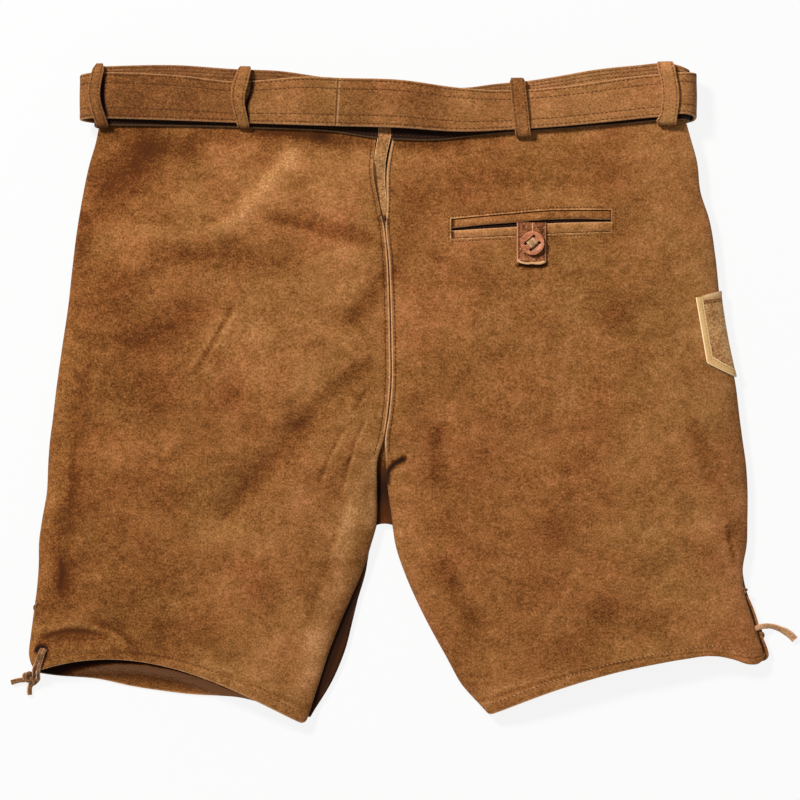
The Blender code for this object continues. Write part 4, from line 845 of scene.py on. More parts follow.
STROKES = [Stroke(*row) for row in (
    # left: hip, seat and leg
    ([(-195, 190), (-208, 172), (-224, 155)], 17.0, 0.8, -0.20, 0.1),
    ([(-190, 188), (-165, 187)], 10.0, 0.4, -0.10, 0.1),
    ([(-205, 118), (-200, 104)], 16.0, -0.7, 0.12),
    ([(-84, 180), (-104, 156), (-122, 134), (-140, 124)], 8.0, -0.9, 0.19),
    ([(-24, 182), (-34, 160), (-48, 142)], 13.0, -0.5, 0.10),
    ([(-112, 172), (-98, 182)], 7.0, 0.5, -0.03, 0.1),
    ([(-92, 132), (-58, 125), (-24, 116)], 7.5, 0.8, -0.18, 0.1),
    ([(-166, 106), (-128, 102), (-90, 100)], 8.0, 0.5, -0.12, 0.1),
    ([(-162, 60), (-196, 40)], 16.0, 0.6, -0.10, 0.1),
    ([(-24, 22), (-52, 2), (-78, -28)], 7.0, 0.8, -0.13, 0.1),
    ([(-78, -28), (-108, -64), (-132, -92)], 7.0, 0.8, -0.06, 0.1),
    # painted shadow under the waistband, in this row and the next
    ([(-150, 196), (-55, 196)], 9.0, 0.3, -0.17),
    ([(-60, 196), (-20, 190)], 6.0, 0.2, -0.20),
    ([(-90, 166), (-76, 160)], 9.0, 0.2, -0.09),
    ([(-160, 62), (-92, 62)], 12.0, 0.0, -0.09, 0.1),
    ([(-150, 4), (-120, 0), (-80, -10)], 13.0, 0.2, -0.10),
    ([(-64, 34), (-52, 24)], 10.0, 0.2, -0.09),
    ([(-192, 124), (-160, 120)], 10.0, -0.2, 0.16),
    ([(-212, 94), (-198, 98)], 8.0, 0.0, 0.10),
    ([(-130, -140), (-108, -150)], 18.0, 0.2, -0.07),
    ([(-254, -90), (-264, -118), (-258, -150)], 8.0, 0.0, -0.13),
    ([(-26, -58), (-38, -110), (-56, -170), (-70, -225)], 8.0, 0.0, 0.15),
    ([(-219, -50), (-206, -44)], 12.0, -0.4, 0.07),
    ([(-178, -184), (-150, -184)], 14.0, 0.5, -0.15, 0.1),
    ([(-98, -130), (-104, -146)], 15.0, 0.4, -0.06, 0.1),
    ([(-60, -70), (-56, -78)], 12.0, 0.4, -0.04, 0.1),
    ([(-40, -90), (-46, -104)], 12.0, -0.4, 0.11),
    ([(-242, 12), (-250, -60), (-258, -152)], 7.0, 0.5, -0.09, 0.1),
    ([(-66, -185), (-80, -228)], 10.0, -0.4, 0.09),
    # the crease above the left hem: painted shade in its trough, lighter on the ridge above
    ([(-276, -192), (-268, -187), (-252.6, -184.8), (-236, -186.5), (-226, -190)], 2.0, 1.0, -0.17, 0.2),
    ([(-274, -197), (-255, -190), (-236, -192)], 4.5, 0.6, -0.10, 0.2),
    ([(-278, -184), (-258, -177.5), (-234, -180)], 4.5, -0.9, 0.07),
    ([(-217, -184), (-206, -192), (-198, -199)], 3.0, 0.6, -0.09, 0.1),
    # painted shade in the hollow round the eyelet, in this row and the next
    ([(-277.5, -199.2), (-271.5, -201.5)], 2.4, 1.0, -0.42),
    ([(-279.0, -199.0), (-277.0, -196.8), (-273.5, -196.4), (-270.8, -199.0)], 1.5, 0.8, -0.8),
    ([(-232, -201.5), (-200, -202), (-168, -203.5)], 4.0, 0.0, -0.10),
    ([(-56, -70), (-44, -84)], 8.0, 0.0, -0.05),
    ([(-249.5, -37), (-250.5, -50), (-252, -62), (-252.5, -84)], 1.6, 0.4, -0.10),
    ([(-236, -68), (-220, -58)], 9.0, 0.0, 0.06),
    ([(-260, -130), (-258.5, -140), (-261, -152)], 1.6, 0.6, -0.22, -0.2),
    # more of the crease above the left hem: painted shade in its trough, lighter on its ridges
    ([(-270, -189), (-262, -184.8), (-250, -183.6), (-236, -185.2), (-224, -188)], 1.5, 0.6, -0.13),
    ([(-268, -182.5), (-250, -179.6), (-232, -182)], 2.2, -0.5, 0.10),
    ([(-233, -177.5), (-221.8, -180.6), (-212.5, -186.7), (-204.8, -195.2), (-198, -201)], 1.7, 0.5, -0.10),
    ([(-229, -184), (-218, -189), (-211, -196)], 2.0, -0.4, 0.08),
    ([(-24.6, -23.5), (-33.1, -45), (-40, -73.5)], 1.5, -0.5, 0.17),
    ([(-27.6, -24.5), (-36.1, -46), (-43, -72.5)], 1.6, 0.5, -0.14),
    ([(-43, -29.6), (-54.7, -52.7), (-60.8, -68)], 1.5, 0.5, -0.13),
    ([(-40.5, -31), (-52, -53.5), (-58, -70)], 1.5, -0.5, 0.12),
    ([(-30, -41), (-44.7, -64)], 1.5, 0.5, -0.13),
    ([(-25.4, 1.2), (-33, -12)], 2.2, 0.6, -0.16),
    ([(-36, -84), (-41, -104), (-52, -128)], 1.6, -0.4, 0.11),
    ([(-46, -100), (-58, -140), (-72, -180)], 1.6, 0.4, -0.08),
    ([(-127.8, 65), (-144.8, 34), (-156, 15)], 1.6, 0.7, -0.15),
    ([(-124.4, 62), (-140.5, 33)], 1.5, -0.5, 0.13),
    ([(-133.5, 60), (-150, 32), (-160, 18)], 1.5, -0.4, 0.12),
    ([(-116, 50), (-126, 34)], 1.5, 0.5, -0.10),
    ([(-219, 42), (-201, 37), (-175, 50)], 3.0, 0.5, -0.08, 0.1),
    ([(-230, 20), (-252, -40), (-258, -130)], 3.0, -0.3, 0.04),
    # painted light along the left back's inner edge, where its slope turns away from the light
    ([(-16, -42), (-17.5, -75), (-20, -104)], 4.5, 0.0, 0.20),
    ([(-242, 134), (-244, 108)], 7.0, 0.0, -0.13),
    ([(-75, -143), (-61, -176)], 8.0, 0.0, -0.11),
    ([(-110, -22)], 9.0, 0.2, -0.10),
    ([(-150, -74), (-173, -85)], 10.0, 0.2, -0.09, 0.1),
    ([(-80, -82)], 8.0, -0.2, 0.09),
    ([(-117, -191), (-130, -198)], 13.0, 0.2, -0.11),
    ([(-184, -140)], 12.0, 0.2, -0.07, 0.1),
    # painted shadow under the waistband
    ([(-110, 200), (-84, 199), (-58, 196.5)], 3.4, 0.0, -0.26),
    # right and centre: seat, pocket and leg
    ([(-9, 92), (-22, 70), (-35, 54)], 7.0, 0.8, -0.16, 0.1),
    ([(172, -104), (194, -110)], 9.0, 0.0, 0.055),
    ([(-8, 92), (-8, 76)], 5.0, 0.0, -0.05),
    ([(190, 52), (202, 38)], 9.0, 0.0, 0.05),
    ([(170, -146), (184, -148)], 7.0, 0.0, -0.035),
    ([(248, -174), (262, -182), (268, -200)], 9.0, 0.0, 0.06),
    ([(253.5, -104), (255.5, -115), (259.0, -130.5)], 1.2, 0.5, -0.30),
    ([(240, -124), (247, -138)], 8.0, 0.0, -0.065),
    # painted shadow under the waistband
    ([(-4, 191), (20, 190), (50, 193)], 4.5, 0.0, -0.22),
    ([(-5, 0), (-6, -26)], 7.0, 0.0, 0.09),
    ([(98, 54)], 12.0, 0.2, -0.09),
    ([(137, 29)], 9.0, 0.2, -0.08, 0.1),
    ([(220, 94)], 9.0, -0.2, 0.10),
    ([(167, -110)], 9.0, -0.2, 0.08),
    ([(70, -238)], 8.0, 0.0, 0.10),
    # painted shade in the crotch fold, lighter on its ridge, and painted shade in a dimple above it
    ([(4, -52), (0, -54.0), (-3.1, -56.0), (-6.4, -59.4), (-8.2, -63.5), (-8.8, -70)], 1.9, 2.0, -0.85),
    ([(3, -58), (-1, -62), (-3, -70)], 3.0, -0.6, 0.10),
    ([(2, -43)], 2.6, 0.8, -0.12),
    # painted shadow below the pocket tab
    ([(93, 97.0), (112.4, 97.2)], 1.5, 0.4, -0.6),
    # painted shade in the hole at the end of the slit
    ([(-11.3, 135.0), (-10.6, 130.4)], 2.1, 0.6, -1.0),
    ([(12, 150), (4, 110), (-4, 96)], 9.0, 0.4, -0.07, 0.1),
    ([(30, 98), (36, 88)], 12.0, 0.0, -0.07),
    ([(78, 12), (100, 8)], 13.0, 0.0, -0.04),
    ([(30, -108), (60, -96)], 10.0, 0.0, -0.05),
    ([(222, -70), (216, -105), (236, -142)], 9.0, 0.0, -0.07),
    ([(76, 150), (104, 150), (140, 147)], 7.0, -0.4, 0.07),
    ([(66, 164), (98, 169)], 8.0, 0.2, -0.07),
    ([(164, 192), (162, 180)], 14.0, 0.3, -0.05, 0.1),
    ([(172, 70), (164, 56)], 18.0, 0.4, -0.06, 0.1),
    ([(50, 60), (60, 48)], 15.0, -0.4, 0.10),
    ([(30, -30), (29, -62)], 5.0, 0.6, -0.10, 0.1),
    ([(44, -104), (50, -112)], 12.0, 0.4, -0.08, 0.1),
    ([(38, -140), (56, -176)], 9.0, 0.5, -0.09, 0.1),
    ([(116, -106), (120, -112)], 15.0, 0.3, -0.06, 0.1),
    ([(160, -74), (162, -82)], 13.0, 0.3, -0.04, 0.1),
    ([(162, -162), (158, -176)], 16.0, 0.4, -0.08, 0.1),
    ([(112, -212), (120, -206)], 14.0, 0.3, -0.08, 0.1),
    ([(222, -8), (240, -60), (262, -120)], 7.0, 0.6, -0.08, 0.1),
    ([(214, -34), (228, -74), (254, -140)], 3.0, -0.4, 0.04),
    ([(142, -130), (107, -204)], 4.0, -0.4, 0.05),
)]
SHADE_AND_WEAR_TONE, WEAR_DIP = 1.5, 0.8
SPACING = 2.0
EDGE_STEP = [0.0, 0.25, 0.55, 0.9, 1.3, 1.8, 2.4, 3.0, 3.7, 4.6, 5.8, 7.2, 9.0]
HEM_STEP = (9.0, 7.0, 5.4, 4.0, 2.8, 1.8, 1.0, 0.4, 0.0)
NOMINAL_WIDTH = 245.0
SLIT_END, SEAM_END = 134.0, -52.0
HEM_SEAM, LEFT_SEAM, RIGHT_SEAM = 7.6, 3.7, 2.8
# how far the right back stands in from the side seam by its vent, and its hem's height
VENTS = {17: 0.3, 18: 0.4, 19: -0.3, 20: -0.1, 21: 1.6}
RIGHT_HEM = [(0.0, -2.4), (0.2, -1.6), (0.45, -1.5), (0.62, -0.8), (0.7, 0.3), (0.83, 1.8),
             (0.885, -0.2), (0.945, -3.0), (0.975, -1.6), (1.0, 3.0)]
# the tone across each back, from its inner edge to its side
SHADE_AT = [0.0, 0.2, 0.45, 0.7, 0.88, 1.0]
LEFT_SHADE = [0.0, 0.02, 0.0, -0.17, -0.19, -0.15]
RIGHT_SHADE = [-0.06, -0.10, -0.09, -0.06, 0.04, 0.06]


def across_panel():
    """Where the columns of a back panel lie, 0 inner to 1 side, close together at both edges."""
    edge = np.array(EDGE_STEP) / NOMINAL_WIDTH
    inside = 1.0 - 2 * edge[-1]
    count = round(inside * NOMINAL_WIDTH / SPACING)
    middle = edge[-1] + inside * np.arange(1, count) / count
    return np.concatenate([edge, middle, 1.0 - edge[::-1]])


SHARES = across_panel()


def hem_bow(share):
    """The shape of a bowed line, 0 at both ends and fullest a little towards the side."""
    skewed = share ** 1.2
    return 4.0 * skewed * (1.0 - skewed)


def dome(side):
    """The height of the dome at a place across it, -1 and 1 at its edges."""
    return np.sqrt(np.maximum(0.0, 1.0 - np.minimum(1.0, np.abs(side)) ** 2.6))


def side_edge(row):
    """The height at which a back panel's side starts, so that its wall clears the front's."""
    share = 0.5 - 0.5 * math.cos(math.pi / 22)
    first_run = share * abs(row.out_x - row.in_x)
    first_rise = (row.crown - row.side_z) * float(dome(1.0 - 2.0 * share))
    return row.side_z + GAP + SIDE_SLACK + SUEDE * first_run / math.hypot(first_run, first_rise)


def back_line(row, vent):
    """The points of one line across a back panel, before its folds."""
    x = lerp(row.in_x, row.out_x - vent, SHARES)
    y = lerp(row.in_y, row.out_y, SHARES) + row.bow * hem_bow(SHARES)
    side = 2.0 * SHARES - 1.0
    edge = np.where(side > 0, side_edge(row), row.in_z)
    return np.stack([x, y, edge + (row.crown - edge) * dome(side)], axis=1)


def pressed(x, y, strokes):
    """What all the strokes add up to at each place: their dip, tone and warmth."""
    totals = np.zeros((3,) + x.shape)
    for stroke in strokes:
        nearest = np.full(x.shape, 1e9)
        for (x0, y0), (x1, y1) in zip(stroke.line, stroke.line[1:] or stroke.line):
            run = (x1 - x0, y1 - y0)
            share = fade(((x - x0) * run[0] + (y - y0) * run[1]) / (math.hypot(*run) + 1e-9) ** 2)
            away = (x - x0 - run[0] * share) ** 2 + (y - y0 - run[1] * share) ** 2
            nearest = np.minimum(nearest, away)
        waver = 1.0 + 0.35 * ripple(x, y, stroke.width * 1.6, 77)
        touch = np.exp(-nearest / (stroke.width * waver) ** 2)
        for total, amount in zip(totals, (stroke.dip, stroke.tone, stroke.warm)):
            total += amount * touch
    return totals


def back_panel(name, table, towards, seed, uneven, shade, seam, rib_low, vents, hem_drop, corner):
    """One back panel: its domed form, pressed in by the folds and softly uneven all over.

    towards is the way in X to the centre back, where a raised rib of cut edge runs up from
    rib_low, with a row of stitches beside it in the ditch called seam.
    """
    grid = loft([back_line(row, vents.get(number, 0.0)) for number, row in enumerate(table)], SPACING,
                last=HEM_STEP)
    if hem_drop:
        grid[..., 1] += fade(1.0 - from_hem(grid) / 30.0) ** 2 * smooth_table(*zip(*hem_drop), SHARES)
    inner = SHARES * NOMINAL_WIDTH
    round_corner(grid, inner, corner)
    round_corner(grid, NOMINAL_WIDTH - inner, 4.0)
    x, y = grid[..., 0], grid[..., 1]
    slant, cross = (x + y) / math.sqrt(2), (y - x) / math.sqrt(2)
    waves = 0.40 * ripple(slant, cross * 1.8, 34.0, seed) + 0.20 * ripple(slant, cross * 2.2, 15.0, seed + 1)
    waves += 0.09 * ripple(x, y, 6.5, seed + 2)
    below_belt = np.clip((196.0 - y) / 30.0, 0.15, 1.0)
    dip = pressed(x, y, FOLDS)[0] + WEAR_DIP * pressed(x, y, STROKES)[0]
    grid[..., 2] += dome(2.0 * SHARES - 1.0) ** 2 * below_belt * (uneven * waves - dip)
    hem = from_hem(grid)
    joined = fade((y - SEAM_END) / 12.0)
    closed = joined * fade((SLIT_END - y) / 8.0)
    grid[..., 0] += towards * 0.36 * closed * bell(inner, 2.5)
    at_slit = y > SLIT_END
    wide = np.where(at_slit & (towards < 0), 0.95, 0.55)
    rib = bell(inner - 0.8 - 0.5 * (wide > 0.9), wide) * fade((y - rib_low) / 12.0)
    rib *= np.where(at_slit, 0.15 if towards > 0 else 0.8, 1.0)
    grid[..., 2] += 0.75 * rib - 0.4 * fade(1.0 - inner / 0.5) - 0.45 * fade(1.0 - hem / 0.9)
    ditch = bell(inner - seam, 0.55) * joined + bell(hem - HEM_SEAM, 0.8)
    grid[..., 2] -= 0.35 * ditch
    wear = pressed(x, y, STROKES)
    tone = SHADE_AND_WEAR_TONE * (pressed(x, y, FOLDS)[1] + wear[1]) + smooth_table(SHADE_AT, shade, SHARES)
    tone += 0.06 * ripple(slant, cross * 1.5, 30.0, seed + 5) + 0.04 * ripple(x, y, 70.0, seed + 6)
    tone += 0.13 * bell(hem - 10.0, 1.3) + 0.07 * bell(hem - 5.4, 1.2)
    # painted shade in the ditches of the seams and a dark painted line of shade along the butted inner edge
    tone -= 0.22 * ditch + 0.7 * fade(1.0 - inner / 0.35) * joined
    warm = wear[2] + 0.2 * ripple(x, y, 55.0, seed + 7)
    cut = fade(0.85 * rib + 0.6 * fade(1.0 - hem / 0.9))
    return cloth(name, grid, SUEDE, MAIN_HIDE, tone=tone, warm=warm, cut=cut), grid


back_left, LEFT_BACK = back_panel("back_left_hide", LEFT, towards=1, seed=31, uneven=1.0, shade=LEFT_SHADE,
                                  seam=LEFT_SEAM, rib_low=-38.0, vents={}, hem_drop=None, corner=8.5)
back_right, RIGHT_BACK = back_panel("back_right_hide", RIGHT, towards=-1, seed=41, uneven=0.7,
                                    shade=RIGHT_SHADE, seam=RIGHT_SEAM, rib_low=-56.0, vents=VENTS,
                                    hem_drop=RIGHT_HEM, corner=7.5)
fit(back_left, "suede", "back_left")
fit(back_right, "suede", "back_right")
declare(back_left, LEFT_BACK)
declare(back_right, RIGHT_BACK)
LEFT_TREE, RIGHT_TREE = face_tree(LEFT_BACK), face_tree(RIGHT_BACK)


def on_face(tree, x, y, lift=0.0):
    """The point of a panel's face under a place, moved off it by lift, and the way it faces."""
    place, normal, _, _ = tree.ray_cast(Vector((x, y, 100.0)), Vector((0, 0, -1)))
    if place is None:
        place, normal, _, _ = tree.find_nearest(Vector((x, y, 20.0)))
    if normal.z < 0:
        normal = -normal
    return place + normal * lift, normal


def thread(name, dark, light):
    """Twisted sewing thread, darkened by wear."""
    material, tree, shader, place = new_material(name)
    value = summed(tree, 0.5, [(cloud(tree, place, 3.0, 2.0), 0.9), (cloud(tree, place, 0.7, 2.0), 0.7)])
    set_sockets(shader, Base_Color=ramp(tree, value, (0.25, 0.75), (screen(*dark), screen(*light))),
                Roughness=0.8, Specular_IOR_Level=0.2)
    return material


DARK_THREAD = thread("dark_thread", (44, 20, 8), (84, 48, 22))
BROWN_THREAD = thread("brown_thread", (78, 44, 20), (118, 74, 40))
PALE_THREAD = thread("pale_thread", (150, 104, 62), (206, 166, 118))
STITCH_SIDES, STITCH_RINGS, STITCH_STRAY = 6, 4, 0.18


def stitch_form(length, radius):
    """One stitch along X: a short round strand whose ends go down into the hide."""
    bpy.ops.object.select_all(action="DESELECT")
    bpy.ops.mesh.primitive_uv_sphere_add(segments=STITCH_SIDES, ring_count=STITCH_RINGS, radius=1.0,
                                         rotation=(0, math.pi / 2, 0))
    ball = bpy.context.object
    bpy.ops.object.transform_apply(location=True, rotation=True, scale=True)
    points = np.array([v.co for v in ball.data.vertices])
    faces = [tuple(face.vertices) for face in ball.data.polygons]
    bpy.data.objects.remove(ball)
    points[:, 0] = np.sign(points[:, 0]) * np.abs(points[:, 0]) ** 0.8
    points *= (length / 2, radius, radius)
    points[:, 2] -= 0.6 * radius * (2 * points[:, 0] / length) ** 2
    return points, faces


def read_off(at, knots, points):
    """The point at a distance along a route."""
    return np.array([np.interp(at, knots, values) for values in np.transpose(points)])


def sew(name, seams, pitch, length, radius, material, slot, shift=0.0):
    """Rows of stitches along seams, each a list of (place, facing) pairs, as one mesh."""
    form, form_faces = stitch_form(length, radius)
    random = np.random.RandomState(len(seams) * 7 + round(pitch * 10))
    points, faces = [], []
    for seam in seams:
        places, facing = (np.array([tuple(item) for item in column]) for column in zip(*seam))
        knots = arc_knots(places)
        for number in range(max(1, int((knots[-1] - length) / pitch) + 1)):
            at = length / 2 + number * pitch + shift + random.uniform(-STITCH_STRAY, STITCH_STRAY)
            if at > knots[-1]:
                continue
            ahead = unit(read_off(at + 1, knots, places) - read_off(at - 1, knots, places))
            beside = unit(np.cross(read_off(at, knots, facing), ahead))
            turn = np.stack([ahead, beside, np.cross(ahead, beside)])
            start = len(points) * len(form)
            points.append(form @ turn + read_off(at, knots, places))
            faces += [tuple(v + start for v in face) for face in form_faces]
    fit(mesh_piece(name, np.concatenate(points), faces, [material]), slot)


def seam_on(tree, line, lift=0.1):
    """A seam along a line of (x, y) places on a panel's face."""
    line = finer_route([(x, y, 0.0) for x, y in line], 1.5)
    return [on_face(tree, x, y, lift) for x, y, _ in line]


def centre_seam(tree, grid, inset, top):
    """The seam a set distance in from a back panel's inner edge, down to the end of the join."""
    line = [read_off(inset / NOMINAL_WIDTH, SHARES, row)[:2] for row in grid]
    return seam_on(tree, [place for place in line if SEAM_END <= place[1] <= top][::3])


def hem_seam(tree, grid):
    """The seam a set distance in from a panel's hem."""
    edge = grid[-1, :, :2]
    ahead = unit(np.gradient(edge, axis=0))
    inwards = np.stack([-ahead[:, 1], ahead[:, 0]], axis=1)
    inwards *= np.sign(inwards[:, 1:2])
    line = edge + inwards * HEM_SEAM
    return seam_on(tree, line[(SHARES >= 0.03) & (SHARES <= 0.97)][::3])


sew("centre_back_stitches", [centre_seam(LEFT_TREE, LEFT_BACK, LEFT_SEAM, 188.0),
                             centre_seam(RIGHT_TREE, RIGHT_BACK, RIGHT_SEAM, 192.0)],
    3.1, 2.4, 0.36, DARK_THREAD, "suede")
left_hem, right_hem = hem_seam(LEFT_TREE, LEFT_BACK), hem_seam(RIGHT_TREE, RIGHT_BACK)
sew("hem_stitches_left", [left_hem], 3.3, 2.2, 0.34, BROWN_THREAD, "suede")
sew("hem_stitches_right", [right_hem], 3.3, 2.0, 0.32, BROWN_THREAD, "suede")
INSIDE_HEM = [(-242, -213.4), (-212, -215), (-173, -221.6), (-150, -222.4), (-136, -222)]
sew("hem_stitches_inside", [seam_on(FRONT_TREES[0], INSIDE_HEM, SUEDE + 0.15)],
    3.3, 2.2, 0.36, PALE_THREAD, "suede")
sew("hem_stitches_pale", [right_hem], 3.3, 1.3, 0.42, PALE_THREAD, "suede", shift=1.65)

# the bar of stitches that closes the end of the centre-back slit, and the tack beside it
bars = [[on_face(LEFT_TREE, -12.0, y, 0.5), on_face(RIGHT_TREE, -8.9, y, 0.5)]
        for y in (134.8, 133.7, 132.6, 131.5)]
sew("slit_bar", bars, 3.0, 2.8, 0.6, DARK_THREAD, "suede")
tack = [on_face(LEFT_TREE, x, y, 0.5) for x, y in ((-13.9, 134.1), (-12.6, 133.6), (-11.7, 133.7))]
lower_tack = [(place + Vector((0, -1.3, 0)), normal) for place, normal in tack]
sew("slit_tack", [tack, lower_tack], 2.0, 1.8, 0.4, PALE_THREAD, "suede")

# ---------------------------------------------------------------- centre-back gore and crotch strip
# A gore of rougher, sandy split hide fills the slit at the centre back under the waistband. A
# plain strip backs the open valley where the four panels meet at the crotch.
# left edge, right edge, y and, by the waistband, the height over its back
GORE = [(-15.2, -5.0, 222.0, 0.2), (-15.4, -5.1, 199.0, 0.2), (-16.4, -6.5, 192.0, 0.1),
        (-17.5, -7.9, 186.0, -0.3), (-18.3, -9.1, 180.0, -0.8)]
GORE_LOW = [(-21.0, -9.8, 172.0), (-21.5, -9.8, 158.0), (-20.0, -8.4, 145.0), (-17.0, -6.0, 131.0),
            (-15.0, -5.0, 122.0)]
CROTCH_STRIP = [(-13.5, -7.5, -30.0), (-15.0, -6.5, -38.0), (-19.0, -5.0, -54.0), (-20.0, -4.0, -74.0),
                (-20.0, -2.0, -92.0), (-20.0, -1.2, -98.0), (-20.0, -1.0, -102.0)]
SPLIT_HIDE = suede("split_hide", [(96, 58, 28), (132, 86, 48), (164, 114, 72), (188, 140, 94),
                                  (214, 172, 126)], (216, 176, 130), grain=1.35, patch=0.7, nap=1.6)


def rest_height(x, y):
    """The height of whichever back panel lies at a place."""
    return drop_on((LEFT_TREE, RIGHT_TREE), x, y, True, BACK_WAIST_Z)


def gore_rows(columns=13):
    """The gore: level with the waistband at the top, then under both edges of the slit."""
    rows = []
    for left, right, y, rise in GORE:
        z = BAND_BACK_Z - BAND / 2 + SUEDE + rise
        rows.append([(x, y, z) for x in np.linspace(left, right, columns)])
    for left, right, y in GORE_LOW:
        sides = [min(rest_height(x, y + dy) for dy in (-6, 0, 6)) - SUEDE - GAP - 0.5 for x in (left, right)]
        rows.append([(lerp(left, right, t), y, lerp(*sides, t)) for t in np.linspace(0, 1, columns)])
    return rows


GORE_GRID = loft(gore_rows(), 1.2)
GORE_GRID[..., 2] += 0.12 * ripple(GORE_GRID[..., 0], GORE_GRID[..., 1], 4.0, 51)
# darker towards the top, and painted light on the left part, where the left panel's edge throws its shadow
gore_tone = -0.20 * fade((GORE_GRID[..., 1] - 182.0) / 8.0)
gore_tone += 0.35 * bell(GORE_GRID[..., 0] + 19.0, 1.8) * fade((183.0 - GORE_GRID[..., 1]) / 8.0)
gore = cloth("centre_back_gore_hide", GORE_GRID, SUEDE, SPLIT_HIDE,
             cut=cut_edges(GORE_GRID, 0.8, ends=False), tone=gore_tone)
fit(gore, "pale_suede", "centre_back_gore")
declare(gore, GORE_GRID)


def inner_height(table, y):
    """The height of a back panel's inner edge at y."""
    return float(np.interp(y, *zip(*sorted((row.in_y, row.in_z) for row in table))))


def crotch_rows(columns=11):
    """The strip that closes the valley between the two back panels above the crotch."""
    rows = []
    for left, right, y in CROTCH_STRIP:
        low = min(inner_height(LEFT, y), inner_height(RIGHT, y)) - SUEDE - GAP - 0.3
        arch = 2.6 * fade((-70.0 - y) / 30.0)
        rows.append([(lerp(left, right, t), y - arch * (2 * t - 1) ** 2, low)
                     for t in np.linspace(0, 1, columns)])
    return rows


CROTCH_GRID = loft(crotch_rows(), 1.5)
# painted shade: the strip lies deep in the valley, darker down its left side, towards the crotch and most
# round y = -74
crotch_tone = -0.1 - 0.35 * fade((-50 - CROTCH_GRID[..., 1]) / 50)
crotch_tone -= 0.3 * fade((-12.2 - CROTCH_GRID[..., 0]) / 1.6) + 0.8 * bell(CROTCH_GRID[..., 1] + 74, 16)
crotch_strip = cloth("crotch_strip_hide", CROTCH_GRID, SUEDE, MAIN_HIDE, tone=crotch_tone)
fit(crotch_strip, "suede", "crotch_strip")
declare(crotch_strip, CROTCH_GRID)

# ---------------------------------------------------------------- waistband
# The waistband is two layers of hide sewn over the top of the panels with rows of stitches. It
# runs from the slit round each side to the centre front, and shows above and below the belt.
BAND_TOP = [(-233, 250.4), (-168, 251.2), (-126, 248.3), (-91, 246.8), (-56, 242.0), (1.5, 238.6),
            (55, 234.2), (71, 236.4), (105, 239.9), (127, 243.5), (149, 247.4), (182, 251.0),
            (209, 252.6), (226, 248.5)]
BAND_LOW = [(-233, 205.2), (-114, 202.7), (-45, 199.2), (-15, 194.8), (1.5, 193.9), (25, 193.2),
            (63, 197.1), (90, 199.6), (132, 202.4), (155, 204.3), (171, 205.5), (199, 208.3), (226, 209.8)]
FRONT_DROP = 3.0
# where each half starts at the slit, turns round the side and ends at the centre front
BAND_RUNS = {"left": (-15.6, -232.9, CENTRE_X - GAP), "right": (-5.4, 223.7, CENTRE_X + GAP)}
BAND_ROWS = [3.0, -7.4, -4.6, -2.0]
BAND_HIDE = suede("band_hide", [(34, 19, 10), (84, 47, 20), (118, 75, 42), (146, 99, 60), (176, 128, 86)],
                  CUT_SHADE, grain=0.9, patch=0.7)


def table_at(table, x, column=1):
    """A value read off a table of places and values, held at its ends."""
    places, values = [row[0] for row in table], [row[column] for row in table]
    return smooth_table(places, values, np.clip(x, places[0], places[-1]))


def strap_path(x_start, x_side, x_end, z_start, z_end, step=3.0):
    """The middle line (x, z, share) of a strap from x_start, round the side and back to x_end."""
    radius = abs(z_end - z_start) / 2
    towards = 1 if x_side > x_start else -1
    turn_x = x_side - towards * radius
    count = max(1, round(abs(turn_x - x_start) / step))
    path = [(lerp(x_start, turn_x, i / count), z_start, 0.0) for i in range(count)]
    for share in np.linspace(0, 1, 17):
        path.append((turn_x + towards * radius * math.sin(math.pi * share),
                     lerp(z_start, z_end, (1 - math.cos(math.pi * share)) / 2), share))
    count = max(1, round(abs(turn_x - x_end) / step))
    return path + [(lerp(turn_x, x_end, i / count), z_end, 1.0) for i in range(1, count + 1)]


def strap_edges(path, top, low):
    """The two edges of a strap that follows a path, with edge heights from two tables."""
    x, z, share = np.transpose(path)
    return [np.stack([x, table_at(table, x) - FRONT_DROP * share, z], axis=1) for table in (low, top)]


